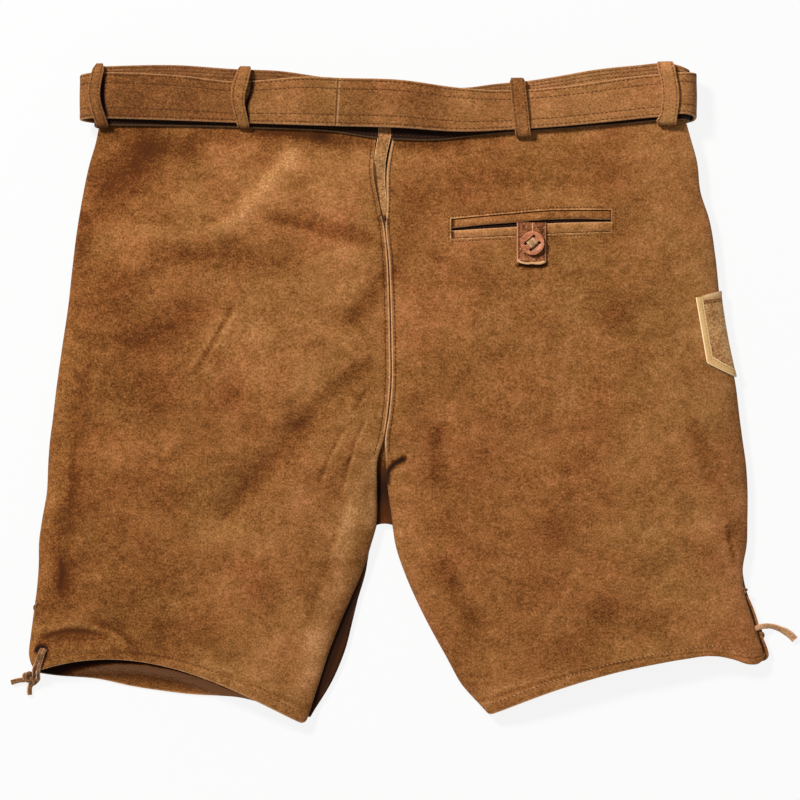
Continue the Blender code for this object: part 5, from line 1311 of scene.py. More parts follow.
def strap(name, low, high, towards, thickness, material, rows=(), relief=None, edge_power=0.7,
          tone=None, bare_edge=(0.9, 0.9), bare=1.0, joint=None):
    """A strap of hide between two edges, with softly rounded cut edges and ditches for its seams.

    rows are the distances of its stitch rows from the low edge, or from the high edge if below 0.
    The function returned finds a place on its outer face, by station and distance from the low
    edge, and joint is a function that tells how near each point lies to a sewn joint.
    """
    normals = unit(np.cross(np.gradient((low + high) / 2, axis=0), high - low))
    normals = normals * np.sign(normals[0] @ np.array(towards))
    wide = np.linalg.norm(high - low, axis=1)
    half = thickness / 2
    turns = np.radians([0, 25, 50, 72, 90])
    near = half * (1 - np.cos(turns))
    typical = float(np.median(wide))
    rows = [row if row > 0 else typical + row for row in rows]
    flat = np.unique(np.round(np.concatenate([
        np.linspace(near[-1], typical - near[-1], max(3, round(typical / 2.2))),
        [r + d for r in rows for d in (-0.8, -0.4, 0.0, 0.4, 0.8)]]), 3))[1:-1]
    flat = flat[(flat > near[-1]) & (flat < typical - near[-1])]
    distance = np.concatenate([near, flat, typical - near[::-1]])
    curve = np.sin(turns) ** edge_power
    rise = np.concatenate([curve, np.ones(len(flat)), curve[::-1]])
    ditch = sum((0.25 * bell(distance - r, 0.45) for r in rows), np.zeros(len(distance)))
    count, ring = len(low), len(distance)
    across = (high - low) / typical
    outer, inner = np.empty((count, ring, 3)), np.empty((count, ring, 3))
    for c in range(ring):
        middle = low + across * distance[c]
        lift = half * rise[c] - ditch[c]
        if relief is not None:
            lift = lift + relief(middle, distance[c] / typical)
        outer[:, c] = middle + normals * np.reshape(lift, (-1, 1))
        inner[:, c] = middle - normals * half * rise[c]
    points = np.concatenate([outer, inner[:, 1:-1][:, ::-1]], axis=1)
    around = points.shape[1]
    faces = ring_faces(count, around)
    for base in (0, (count - 1) * around):
        for c in range(1, ring - 2):
            faces.append((base + c, base + c + 1, base + around - c - 1, base + around - c))
        faces.append((base, base + 1, base + around - 1))
        faces.append((base + ring - 2, base + ring - 1, base + ring))
    piece = mesh_piece(name, points.reshape(-1, 3), faces, [material])
    turn_outwards(piece)
    piece.data.set_sharp_from_angle(angle=math.radians(55))
    shown = fade(1.0 - distance / bare_edge[0]) + fade(1.0 - (typical - distance) / bare_edge[1])
    shown = np.broadcast_to(bare * np.concatenate([shown, shown[1:-1][::-1]]), (count, around))
    shade = np.zeros((count, around))
    # painted shade in the ditches of the stitch rows
    shade[:, :ring] -= 0.5 * ditch
    if tone is not None:
        shade = shade + tone(points)
    if joint is not None:
        ridge, groove = joint(points)
        shown, shade = np.maximum(shown, ridge), shade + groove
    paint(piece, "cut", shown)
    paint(piece, "tone", shade)

    def place(station, at):
        """A place on the outer face and the way it looks."""
        i = min(int(station), count - 2)
        t = station - i
        point = read_off(at if at > 0 else typical + at, distance, lerp(outer[i], outer[i + 1], t))
        return Vector(point), Vector(lerp(normals[i], normals[i + 1], t)).normalized()

    return piece, place


def strap_seam(place, at, stations, lift=0.12):
    """A row of stitches at a set distance from a strap's low edge."""
    seam = [place(station, at) for station in stations]
    return [(point + normal * lift, normal) for point, normal in seam]


def bumps(size, seed):
    """A strap's slight unevenness: bumps about size millimetres across."""
    return lambda points, across: 0.10 * ripple(points[:, 0], points[:, 1], size, seed)


def strap_long(low, high):
    """The length of a strap in metres, along its middle."""
    return float(arc_knots((low + high) / 2)[-1]) * MM


def band_shade(points):
    """Painted shadow under the belt's low edge and painted shade along the waistband's own low edge; lighter
    at the upper right.
    """
    x, y = points[..., 0], points[..., 1]
    up = y - table_at(BAND_LOW, x)
    under = fade((up - 1.3) / 0.8) * fade((20.0 - up) / 8.0) * (points[..., 2] > BAND_BACK_Z - 4)
    handled = 0.24 * fade((x - 40.0) / 60.0) * (up > 20.0)
    return handled - 0.95 * under - 0.55 * (up < 1.4) + 0.05 * ripple(x, y, 12.0, 62)


lower_seams, upper_seams = [], []
for side, (start, turn, end) in BAND_RUNS.items():
    path = strap_path(start, turn, end, BAND_BACK_Z, BAND_FRONT_Z)
    low, high = strap_edges(path, BAND_TOP, BAND_LOW)
    band, place = strap("waistband_" + side + "_hide", low, high, (0, 0, 1), BAND, BAND_HIDE, BAND_ROWS,
                        relief=bumps(9.0, 61), tone=band_shade, bare_edge=(1.0, 0.8), bare=0.3)
    fit(band, "suede", "waistband_" + side)
    strap_long(low, high) + 0.002
    lowest, *upper = [strap_seam(place, at, np.arange(0, len(path) - 1, 0.5)) for at in BAND_ROWS]
    lower_seams.append(lowest)
    upper_seams += upper
sew("waistband_stitches", upper_seams, 3.2, 2.3, 0.34, BROWN_THREAD, "suede")
sew("waistband_low_stitches", lower_seams, 3.2, 2.3, 0.34, DARK_THREAD, "suede")

# ---------------------------------------------------------------- belt and buckle
# The belt is the same hide doubled, with two rows of stitches inside each edge and a sewn joint
# at the back. It passes through the loops to a plain brass frame buckle at the front.
BELT_TOP = [(-250, 245.2), (-226, 245.6), (-168, 243.2), (-126, 238.7), (-112, 239.1), (-68, 242.4),
            (-45, 241.4), (1.5, 239.9), (48, 233.7), (85, 231.7), (125, 234.5), (186, 242.9), (232, 246.8)]
BELT_LOW = [(-250, 210.6), (-238, 210.3), (-226, 210.1), (-168, 208.3), (-126, 206.7), (-45, 204.0),
            (1.5, 202.7), (48, 199.8), (90, 201.6), (125, 203.9), (148, 206.0), (171, 208.3),
            (199, 211.0), (232, 210.6)]
BELT_LEFT, BELT_RIGHT, BELT_TURN = -244.0, 229.0, 214.0
BELT_EYE_X, TIP_X = 22.0, 118.0
TIP_Z = BELT / 2 + 0.2
CROSS_X = (-24.0, 4.0)
BELT_SHADES = [(84, 47, 20), (116, 72, 36), (143, 94, 54), (168, 116, 72), (196, 145, 100)]
BELT_HIDE = suede("belt_hide", BELT_SHADES, (196, 150, 106), patch=0.6)
BELT_THREAD = thread("belt_thread", (60, 30, 13), (98, 58, 29))
BELT_STITCH_ROWS = [2.3, 8.0, -8.0, -2.1]
# how far the belt stands off the waistband between its loops: x, at its low edge, at its high edge
BELT_STAND = [(-260, 0.4, 0.2), (-232, 0.6, 0.2), (-215, 1.6, 0.3), (-170, 2.3, 0.4), (-122, 1.2, 0.2),
              (-90, 2.2, 0.6), (-45, 3.4, 1.0), (0, 4.4, 1.4), (35, 4.0, 1.0), (94, 1.3, 0.2),
              (140, 1.7, 0.4), (205, 0.8, 0.1), (222, 1.4, 0.2), (240, 1.0, 0.2)]
JOINT = ((-48.3, 203.0), (-46.0, 241.5))
BELT_TONE = [(-260, -0.22), (-238, -0.24), (-229, -0.28), (-218, -0.35), (-204, -0.40), (-185, -0.33),
             (-150, -0.27), (-125, -0.16), (-100, -0.09), (-80, -0.07), (-68, -0.18), (-50, -0.12),
             (-33, -0.20), (-8, -0.13), (10, -0.20), (24, -0.27), (46, -0.09), (80, -0.06), (105, 0.03),
             (150, 0.04), (190, 0.04), (206, 0.16), (216, 0.12), (224, -0.02), (240, -0.04)]
# the gaps beside the two left loops, where shade is painted on the belt: heights and where they lie, and half
# their width
LOOP_GAPS = [([(209.3, -224.2), (226.0, -227.6), (243.9, -227.6)], 2.0),
             ([(209.1, -115.4), (219.0, -117.0), (229.8, -112.8), (243.9, -111.2)], 1.4)]
# the stretches of the back, by the joint and the loops, where the belt has more stations
CLOSE_STATIONS = ((-55.0, -40.0), (-126.0, -106.0), (-235.0, -218.0))


def belt_path():
    """The middle line of the belt: from the buckle round the back to the tip."""
    first = strap_path(0.0, BELT_RIGHT, BELT_EYE_X, BELT_BACK_Z, BELT_FRONT_Z)[::-1]
    second = []
    for x, z, share in strap_path(0.0, BELT_LEFT, CROSS_X[0], BELT_BACK_Z, BELT_FRONT_Z)[1:]:
        if share == 0.0 and second and any(low < x < high for low, high in CLOSE_STATIONS):
            second += [(lerp(second[-1][0], x, t), z, share) for t in (0.17, 0.33, 0.5, 0.67, 0.83)]
        second.append((x, z, share))
    cross = [(lerp(*CROSS_X, t), lerp(BELT_FRONT_Z, TIP_Z, t * t * (3 - 2 * t)), 1.0)
             for t in np.linspace(0, 1, 13)[1:]]
    return first + second + cross + [(x, TIP_Z, 1.0) for x in np.linspace(CROSS_X[1], TIP_X, 39)[1:]]


belt_line = np.array(belt_path())
belt_low, belt_high = strap_edges(belt_line, BELT_TOP, BELT_LOW)
at_back = 1.0 - belt_line[:, 2]
turn_lift = 2.6 * fade(at_back * 2.0 - 0.6) - 1.2 * fade(1.0 - at_back * 2.5)
belt_low[:, 1] += turn_lift * (belt_line[:, 0] > BELT_TURN)
belt_low[:, 2] += table_at(BELT_STAND, belt_line[:, 0], 1) * at_back
belt_high[:, 2] += table_at(BELT_STAND, belt_line[:, 0], 2) * at_back


def belt_joint(points):
    """Bare edges, and a dark line of painted shade in the groove where the belt's two lengths are butted and
    sewn.
    """
    (x0, y0), (x1, y1) = JOINT
    away = points[..., 0] - lerp(x0, x1, (points[..., 1] - y0) / (y1 - y0))
    back = points[..., 2] > BELT_BACK_Z - 3
    ridge = 0.42 * bell(away - 1.3, 0.6) + 0.18 * bell(away + 1.2, 0.5)
    return ridge * back, -0.5 * bell(away, 0.42) * back


def belt_relief(points, across):
    """The belt's gentle unevenness, fuller between its rows of stitches."""
    swell = 0.16 * math.sin(math.pi * min(1.0, max(0.0, (across - 0.2) / 0.6)))
    edges, groove = belt_joint(points)
    return swell + 0.12 * ripple(points[:, 0], points[:, 1], 13.0, 71) + 0.35 * edges + 0.7 * groove


def belt_tone(points):
    """Lighter at the right, where it has been handled, and darker at the left."""
    x, y = points[..., 0], points[..., 1]
    return table_at(BELT_TONE, x) + 0.03 * ripple(x, y, 24.0, 72) + 0.03 * ripple(x, y, 9.0, 73)


def belt_shade(points):
    """The belt's tone, with painted shade in the gaps beside the loops that stand off it and inside the
    hollow of the belt's turn at the right side.
    """
    x, y, z = points[..., 0], points[..., 1], points[..., 2]
    tone = belt_tone(points)
    for gap, half in LOOP_GAPS:
        tone = tone - 1.3 * np.exp(-((x - table_at(gap, y)) / half) ** 4) * (z > BELT_BACK_Z - 3)
    deep = (x > BELT_TURN - 4.0) & (x < BELT_RIGHT - 1.8) & (y < 213.5)
    return tone - 1.5 * (deep & (z > BELT_FRONT_Z + 0.5) & (z < BELT_BACK_Z - 1.6))


belt, belt_place = strap("belt_hide", belt_low, belt_high, (0, 0, -1), BELT, BELT_HIDE, BELT_STITCH_ROWS,
                         relief=belt_relief, tone=belt_shade, bare_edge=(1.3, 0.9), bare=0.65,
                         joint=belt_joint)
fit(belt, "belt_suede", "belt")
strap_long(belt_low, belt_high)
stations = np.arange(0, len(belt_line) - 1, 0.5)
sew("belt_stitches", [strap_seam(belt_place, at, stations, 0.1) for at in BELT_STITCH_ROWS],
    3.54, 2.3, 0.4, BELT_THREAD, "belt_suede")

EYE_R, EYE_WALL, BELT_MID_Y = 2.2, 0.95, 218.35
EYE_X, EYE_Z = BELT_EYE_X - GAP - 12.0, BUCKLE_SPACE - GAP - EYE_R
EYE_HALVES = ((-15.0, -2.5, 2.3), (2.5, 15.0, -2.3))


def belt_eye():
    """The belt's end, folded round the buckle's heel bar, with a notch for the prong."""
    middle = EYE_R - EYE_WALL / 2
    tail = BELT_EYE_X - GAP - EYE_X
    path = [(tail * t, middle * 0.9) for t in (1.0, 0.8, 0.6, 0.4, 0.2)]
    path += [(-middle * math.cos(a), middle * math.sin(a))
             for a in np.linspace(math.pi / 2, -math.pi / 2, 17)]
    path += [(tail * t, -middle * 0.9) for t in (0.2, 0.4, 0.6, 0.8, 1.0)]
    parts = []
    for low, high, row in EYE_HALVES:
        edges = [np.array([(EYE_X + x, BELT_MID_Y + y, EYE_Z + z) for x, z in path]) for y in (low, high)]
        parts.append(strap("belt_eye_half", *edges, (0, 0, 1), EYE_WALL, BELT_HIDE, [row], tone=belt_tone,
                           bare=0.5)[0])
    bpy.ops.object.select_all(action="DESELECT")
    for piece in parts:
        piece.select_set(True)
    bpy.context.view_layer.objects.active = parts[0]
    bpy.ops.object.join()
    parts[0].name = "belt_eye_hide"
    fit(parts[0], "belt_suede", "belt_eye")


belt_eye()


def brass(name):
    """Solid brass, dulled by handling, with tarnish in patches."""
    material, tree, shader, place = new_material(name)
    dull = cloud(tree, place, 9.0, 4.0)
    scratch = cloud(tree, place, 0.8, 2.0)
    value = summed(tree, 0.5, [(dull, 1.5), (scratch, 0.4)])
    colour = ramp(tree, value, (0.2, 0.6, 0.9), ((0.30, 0.20, 0.08, 1), (0.62, 0.45, 0.18, 1),
                                                 (0.80, 0.62, 0.30, 1)))
    rough = add_node(tree, "MapRange", Value=value, To_Min=0.42, To_Max=0.24)
    set_sockets(shader, Base_Color=colour, Metallic=1.0, Roughness=rough.outputs["Result"])
    return material


BRASS = brass("brass")
for node in ("buckle_frame", "buckle_prong"):
    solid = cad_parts[node]
    solid.data.materials.clear()
    solid.data.materials.append(BRASS)

# ---------------------------------------------------------------- belt loops
# Four narrow loops at the back and two at the front are sewn over the waistband's top edge. Each
# lies over the belt and is folded back under its lower end.
Loop = namedtuple("Loop", "name top_x mid_x low_x top_y low_y wide arch flare crown shade foot")
BACK_LOOPS = [
    Loop("back_loop_1", -229.6, -233.7, -227.2, 252.2, 203.8, 9.4, 3.6, 0.3, 2.0, 0.04, 0.0),
    Loop("back_loop_2", -117.6, -123.0, -118.8, 250.0, 203.2, 10.0, 4.2, 1.0, 1.1, 0.08, 0.0),
    Loop("back_loop_3", 91.6, 93.9, 96.5, 241.2, 196.0, 12.2, 1.4, 0.0, 1.4, -0.17, 0.0),
    Loop("back_loop_4", 205.4, 209.6, 207.6, 253.7, 205.6, 13.2, 1.2, 0.0, 0.9, 0.02, 2.6),
]
FRONT_LOOPS = [
    Loop("front_loop_left", -132.0, -132.0, -132.0, 248.0, 196.4, 12.0, 0.0, 0.0, 1.1, 0.0, 0.0),
    Loop("front_loop_right", 140.0, 140.0, 140.0, 245.0, 198.4, 12.0, 0.0, 0.0, 1.1, 0.0, 0.0),
]
LOOP_ROW = 1.7


def loop_profile(loop, out, band_z, loop_z, end_z):
    """The middle line (y, z) of a loop: over the waistband's top edge, the belt, and down again."""
    top, low = loop.top_y - LOOP / 2, loop.low_y + LOOP / 2

    def arch(t):
        """How far the loop stands off the belt, at a share of its length."""
        return 0.9 + loop.arch * math.sin(math.pi * t) ** 0.7 if out > 0 else 0.0

    steps = [(top, band_z - out), (top, loop_z - out * 1.5), (top - 0.5, loop_z - out * 0.4),
             (top - 1.8, loop_z + out * 0.2 * arch(0)), (top - 4.0, loop_z + out * arch(0.05))]
    steps += [(lerp(top - 4.0, low + 4.0, t), loop_z + out * arch(t)) for t in (0.2, 0.4, 0.6, 0.8, 1.0)]
    return steps + [(low + 1.8, loop_z + out * 0.3 * arch(1)), (low + 0.5, loop_z - out * 0.6),
                    (low, loop_z - out * 1.5), (low, end_z)]


def loop_edges(loop, profile):
    """Both edges of a loop, leaning as its three centre points say."""
    lean = [(loop.low_y, loop.low_x), ((loop.top_y + loop.low_y) / 2, loop.mid_x), (loop.top_y, loop.top_x)]
    x, y, z = finer_route([(0.0, y, z) for y, z in profile], 1.3).T
    x = table_at(lean, y)
    drawn = loop.crown * bell(loop.top_y - y, 0.6 + loop.crown) + 0.5 * bell(y - loop.low_y, 1.5)
    drawn -= loop.flare * bell(loop.top_y - 14 - y, 9)
    half = loop.wide / 2 - drawn + 0.25 * ripple(y, 0.0, 9.0, round(loop.wide * 10))
    spread = loop.foot * bell(y - loop.low_y - 2.5, 3.5)
    return np.stack([x - half - spread, y, z], axis=1), np.stack([x + half, y, z], axis=1)


def make_loop(loop, out, band_z, loop_z, end_z, seed):
    """One belt loop, and the places of its two rows of stitches."""
    low, high = loop_edges(loop, loop_profile(loop, out, band_z, loop_z, end_z))
    rows = [LOOP_ROW, loop.wide - LOOP_ROW]
    piece, place = strap(loop.name + "_hide", low, high, (0, out * 0.01, 1e-6), LOOP + 0.5, BELT_HIDE, rows,
                         relief=bumps(6.0, seed), tone=lambda p: belt_tone(p) + loop.shade,
                         bare_edge=(0.7, 0.5), bare=0.22, edge_power=0.5)
    fit(piece, "suede", loop.name)
    strap_long(low, high)
    return [strap_seam(place, at, np.arange(3, len(low) - 3, 0.5), 0.08) for at in rows]


loop_seams = []
for number, loop in enumerate(BACK_LOOPS):
    seat = max(rest_height(loop.low_x + shift * loop.wide / 2, y)
               for shift in (-1, 0, 1) for y in (loop.low_y, loop.low_y + LOOP))
    loop_seams += make_loop(loop, 1, BAND_BACK_Z, LOOP_BACK_Z, seat + GAP, 80 + number)
for number, loop in enumerate(FRONT_LOOPS):
    seat = below(loop.low_x, loop.low_y)
    loop_seams += make_loop(loop, -1, BAND_FRONT_Z, LOOP_FRONT_Z, seat - GAP, 90 + number)
sew("loop_stitches", loop_seams, 2.9, 1.9, 0.28, DARK_THREAD, "suede")

# ---------------------------------------------------------------- back welt pocket
# A window is cut in the right back panel and backed by two strips of hide, the welts, with the
# slit between them. A small bag hangs behind, and a tab with a horn button closes it.
# x, and the heights there of the window's top, the slit's top and foot, and the window's foot
POCKET = [
    (41.1, 132.6, 125.4, 123.7, 117.5),
    (66.0, 135.0, 128.2, 125.3, 118.8),
    (92.0, 137.3, 130.2, 126.9, 120.0),
    (114.0, 139.2, 132.1, 129.2, 121.2),
    (140.0, 139.6, 132.7, 130.2, 122.2),
    (165.4, 139.6, 132.0, 130.6, 122.9),
]
POCKET_X = np.linspace(POCKET[0][0], POCKET[-1][0], 84)
WINDOW_TOP, SLIT_TOP, SLIT_LOW, WINDOW_LOW = (table_at(POCKET, POCKET_X, column) for column in (1, 2, 3, 4))
WELT, LIP, WELT_SUNK, WINDOW_GAP = 1.2, 0.6, 0.4, 0.36
CUT_REACH, CUT_SNAP = 2.5, 2e-6
# the section of the window's raw edge: how far out from the cut, height over the face
RIM_SHAPE = [(0.10, -0.5), (0.12, 0.06), (0.30, 0.22), (0.55, 0.28), (0.80, 0.20), (1.00, 0.0), (1.05, -0.5)]
CUT_HIDE = suede("cut_hide", [(126, 80, 42), (158, 108, 66), (184, 134, 88), (206, 158, 110),
                              (224, 182, 136)], (214, 172, 124), grain=1.3, patch=0.8)
RIM_HIDE = suede("rim_hide", [(112, 68, 34), (142, 94, 54), (168, 118, 74), (190, 140, 94), (208, 162, 116)],
                 (200, 152, 106), grain=1.5)


def window_ring(offset):
    """The outline of the window moved outwards by offset, as points round it."""
    xs = POCKET_X[::2]
    top, low = WINDOW_TOP[::2] + offset, WINDOW_LOW[::2] - offset
    xs = (xs - xs.mean()) * (1 + 2 * offset / (xs[-1] - xs[0])) + xs.mean()
    steps = (0.2, 0.4, 0.6, 0.8)
    ring = list(zip(xs, top)) + [(xs[-1], lerp(top[-1], low[-1], t)) for t in steps]
    return ring + list(zip(xs[::-1], low[::-1])) + [(xs[0], lerp(low[0], top[0], t)) for t in steps]


def inside_ring(x, y, ring):
    """Whether a place lies inside a closed ring of points."""
    within = False
    for (x0, y0), (x1, y1) in zip(ring, ring[1:] + ring[:1]):
        if (y0 > y) != (y1 > y) and x < x0 + (y - y0) * (x1 - x0) / (y1 - y0):
            within = not within
    return within


def faces_about(bm, places, reach):
    """The faces with their middle in the box round some places, widened by reach."""
    xs, ys = zip(*places)
    low = Vector((min(xs) - reach, min(ys) - reach)) * MM
    high = Vector((max(xs) + reach, max(ys) + reach)) * MM
    middles = ((face, face.calc_center_median()) for face in bm.faces)
    return [face for face, middle in middles if low.x < middle.x < high.x and low.y < middle.y < high.y]


def cut_window():
    """Cut the pocket's window out of the right back panel, through both of its faces."""
    ring = [(float(x), float(y)) for x, y in window_ring(0.0)]
    bm = bmesh.new()
    bm.from_mesh(back_right.data)
    for (x0, y0), (x1, y1) in zip(ring, ring[1:] + ring[:1]):
        faces = faces_about(bm, ((x0, y0), (x1, y1)), CUT_REACH)
        edges = {edge for face in faces for edge in face.edges}
        verts = {vert for face in faces for vert in face.verts}
        bmesh.ops.bisect_plane(bm, geom=faces + list(edges) + list(verts), dist=CUT_SNAP,
                               plane_co=Vector((x0, y0, 0.0)) * MM, plane_no=(y1 - y0, x0 - x1, 0.0))
    gone = []
    for face in faces_about(bm, ring, 0.0):
        centre = face.calc_center_median() / MM
        if inside_ring(centre.x, centre.y, ring):
            gone.append(face)
    bmesh.ops.delete(bm, geom=gone, context="FACES")
    walls = bmesh.ops.bridge_loops(bm, edges=[edge for edge in bm.edges if edge.is_boundary])
    for face in walls["faces"]:
        face.smooth = True
    bmesh.ops.recalc_face_normals(bm, faces=bm.faces)
    bm.to_mesh(back_right.data)
    bm.free()


def window_rim():
    """The window's bare cut edge, which stands up a little all round it."""
    rings = [[on_face(RIGHT_TREE, x, y, lift)[0] for x, y in window_ring(offset)]
             for offset, lift in RIM_SHAPE]
    points = [point for section in zip(*rings) for point in section]
    faces = ring_faces(len(rings[0]), len(rings), closed=True)
    rim = mesh_piece("pocket_rim_hide", points, faces, [RIM_HIDE])
    turn_outwards(rim)
    fit(rim, "suede")


cut_window()
window_rim()


def welt(name, upper):
    """One strip of hide inside the window, on one side of the slit."""
    ends = (POCKET[0][0] + WINDOW_GAP, POCKET[-1][0] - WINDOW_GAP)
    keep = (POCKET_X > ends[0]) & (POCKET_X < ends[1])
    xs = POCKET_X[keep]
    xs[0], xs[-1] = ends
    outer = (WINDOW_TOP - WINDOW_GAP if upper else WINDOW_LOW + WINDOW_GAP)[keep]
    inner = (SLIT_TOP if upper else SLIT_LOW)[keep]
    rows = []
    for t in np.linspace(0, 1, 11):
        swell = (-WELT_SUNK if upper else LIP * t) + (0.5 if upper else 0.75) * math.sin(math.pi * t ** 1.3)
        roll = 0.7 * max(0.0, (t - 0.86) / 0.14) ** 2 + 0.35 * max(0.0, (0.12 - t) / 0.12)
        rows.append([on_face(RIGHT_TREE, x, y)[0] + Vector((0, 0, swell - roll))
                     for x, y in zip(xs, lerp(outer, inner, t))])
    grid = np.array(rows)
    x, y = grid[..., 0], grid[..., 1]
    grid[..., 2] += 0.05 * ripple(x, y, 5.0, 101)
    # painted light and shade: the lower welt lighter and the upper darker, with dark painted shade along the
    # upper's top edge and both its ends and the lower's left end, and darker by the slit
    shade = (-0.06 if upper else 0.12) + 0.07 * ripple(x, y, 12.0, 102)
    shade[0] -= 1.0 if upper else 0.1
    shade[:, :1] -= 1.0
    if upper:
        shade[:, -1:] -= 1.0
        shade[-3:] -= 0.12
    bare = np.zeros(shade.shape)
    bare[-1], bare[-2] = 0.55, 0.2
    piece = cloth(name + "_hide", grid, WELT, MAIN_HIDE, tone=shade, cut=bare)
    fit(piece, "suede", name)


welt("pocket_welt_upper", True)
welt("pocket_welt_lower", False)

BAG_DEPTH, BAG_WALL, BAG_ENDS = 60.0, 1.0, (38.0, 168.0)


def pocket_bag():
    """The first layer of the pocket, close behind the opening."""
    behind = Vector((0, 0, SUEDE + GAP + 0.75))
    xs = np.linspace(*BAG_ENDS, 53)
    tops = np.interp(xs, *np.transpose(POCKET)[:2]) + 5.0
    grid = np.array([[on_face(RIGHT_TREE, x, top - share * BAG_DEPTH)[0] - behind for x, top in zip(xs, tops)]
                     for share in np.linspace(0, 1, 25)])
    away = np.abs(grid[..., 1] - np.interp(grid[..., 0], POCKET_X, (SLIT_TOP + SLIT_LOW) / 2))
    # painted shade: dark all over, darkest along the slit where it shows through
    piece = cloth("pocket_bag_hide", grid, BAG_WALL, MAIN_HIDE, tone=-0.3 - fade((7.0 - away) / 3.0))
    fit(piece, "suede", "pocket_bag")
    declare(piece, grid)


pocket_bag()

SEAM_OUT, SEAM_CORNER = 2.1, 1.4
pocket_seams = [seam_on(RIGHT_TREE, list(zip(POCKET_X[::6], WINDOW_TOP[::6] + SEAM_OUT))),
                seam_on(RIGHT_TREE, list(zip(POCKET_X[::6], WINDOW_LOW[::6] - SEAM_OUT)))]
for end, x in ((0, POCKET_X[0] - SEAM_OUT), (-1, POCKET_X[-1] + SEAM_OUT)):
    top, low = WINDOW_TOP[end], WINDOW_LOW[end]
    line = [(x, top + SEAM_CORNER), (x, (top + low) / 2), (x, low - SEAM_CORNER)]
    pocket_seams.append(seam_on(RIGHT_TREE, line))
sew("pocket_stitches", pocket_seams, 2.6, 1.8, 0.3, DARK_THREAD, "suede")

TAB_WIDE, TAB_X, TAB, TAB_ROW = 22.4, 102.6, 1.8, 2.0
# how high the tab lies over the back along its length
TAB_LIFT = [(98.9, 1.7), (101.5, 1.0), (105.0, 0.5), (112.0, 0.5), (117.5, 0.6), (121.5, 0.75),
            (126.0, 1.05), (130.0, 1.2)]
TAB_HIDE = suede("tab_hide", [(62, 28, 12), (92, 48, 24), (124, 72, 44), (154, 98, 66), (190, 136, 100)],
                 (206, 150, 112), grain=1.5, patch=1.4)


def pocket_tab():
    """The leather tab that comes out of the slit and takes the button."""
    low, high = [], []
    for _, y, lift in finer_route([(0.0, y, lift) for y, lift in TAB_LIFT], 1.0):
        bridged = on_face(RIGHT_TREE, TAB_X, y)[0].z - 0.3
        for edge, x in ((low, TAB_X - TAB_WIDE / 2), (high, TAB_X + TAB_WIDE / 2)):
            edge.append((x, y, max(on_face(RIGHT_TREE, x, y)[0].z, bridged) + lift + TAB / 2))
    piece, _ = strap("pocket_tab_hide", np.array(low), np.array(high), (0, 0, 1), TAB, TAB_HIDE,
                     [TAB_ROW, TAB_WIDE - TAB_ROW], edge_power=0.5)
    fit(piece, "red_suede", "pocket_tab")


pocket_tab()


def frayed(name, route, thick):
    """A line of bare torn fibres at the tab's end or down its slit."""
    line = [on_face(RIGHT_TREE, x, y)[0] + Vector((0, 0, lift)) for x, y, lift in route]
    fibres, _ = lace(name, [tuple(p) for p in line], 3, thick, thick)
    fibres.data.materials.clear()
    fibres.data.materials.append(CUT_HIDE)
    paint(fibres, "cut", np.full(len(fibres.data.vertices), 0.7))
    fit(fibres, "red_suede")


frayed("tab_torn_end", [(92.4, 101.6, 3.0), (93.6, 99.8, 3.2), (96.2, 98.9, 3.4), (99.4, 98.4, 3.4),
                        (102.6, 98.7, 3.4), (106.2, 98.5, 3.4), (110.0, 98.8, 3.4), (112.6, 99.8, 3.2)], 1.5)
frayed("tab_slit_edge", [(103.8, 129.2, 2.9), (103.5, 126.0, 2.85), (103.6, 122.6, 2.6)], 0.6)

BUTTON_R, BUTTON_HIGH, BUTTON_LIFT = 9.1, 3.2, 1.15
BUTTON_XY = (103.2, 114.0)
SLOT_TURN = math.radians(33)
SLOT_APART, SLOT_LONG, SLOT_WIDE = 6.3, 10.6, 2.2
THONG, THONG_WIDE = 0.8, 6.4
THONG_HIDE = suede("thong_hide", [(84, 54, 32), (120, 84, 54), (148, 110, 76), (174, 136, 100),
                                  (196, 160, 122)], (196, 160, 122), grain=1.2, patch=0.7)


def button_seat():
    """The place and lean of the button, on the tab."""
    x, y = BUTTON_XY
    seat = on_face(RIGHT_TREE, x, y)[0] + Vector((0, 0, TAB + BUTTON_LIFT))
    ahead = on_face(RIGHT_TREE, x, y + 8)[0] - on_face(RIGHT_TREE, x, y - 8)[0]
    beside = on_face(RIGHT_TREE, x + 8, y)[0] - on_face(RIGHT_TREE, x - 8, y)[0]
    lean = beside.cross(ahead).to_track_quat("Z", "Y").to_matrix().to_4x4()
    return Matrix.Translation(seat * MM) @ lean @ Matrix.Rotation(SLOT_TURN, 4, "Z")


seat = button_seat()
slots = [(0.0, y, SLOT_LONG, SLOT_WIDE) for y in (-SLOT_APART / 2, SLOT_APART / 2)]
pocket_button = turned_button("pocket_button_horn", BUTTON_R, BUTTON_HIGH, 1.9, 0.4, slots, seat)
fit(pocket_button, "horn", "pocket_button")

top_z = BUTTON_HIGH + GAP + THONG / 2
half = SLOT_APART / 2 - 0.5
shoulder = [(-half, GAP), (-half, top_z - 0.7), (0.5 - half, top_z - 0.1), (1.2 - half, top_z + 0.1)]
profile = shoulder + [(0.0, top_z + 0.2)] + [(-y, z) for y, z in reversed(shoulder)]
seat_mm = Matrix.Translation(seat.translation / MM) @ seat.to_3x3().to_4x4()
low, high = (np.array([tuple(seat_mm @ Vector((x, y, z))) for _, y, z in
                       finer_route([(0.0, y, z) for y, z in profile], 0.5)])
             for x in (-THONG_WIDE / 2, THONG_WIDE / 2))
thong, _ = strap("button_thong_hide", low, high, tuple(seat_mm.to_3x3() @ Vector((0, -1, 0))), THONG,
                 THONG_HIDE, edge_power=0.5)
fit(thong, "pale_suede", "button_thong")

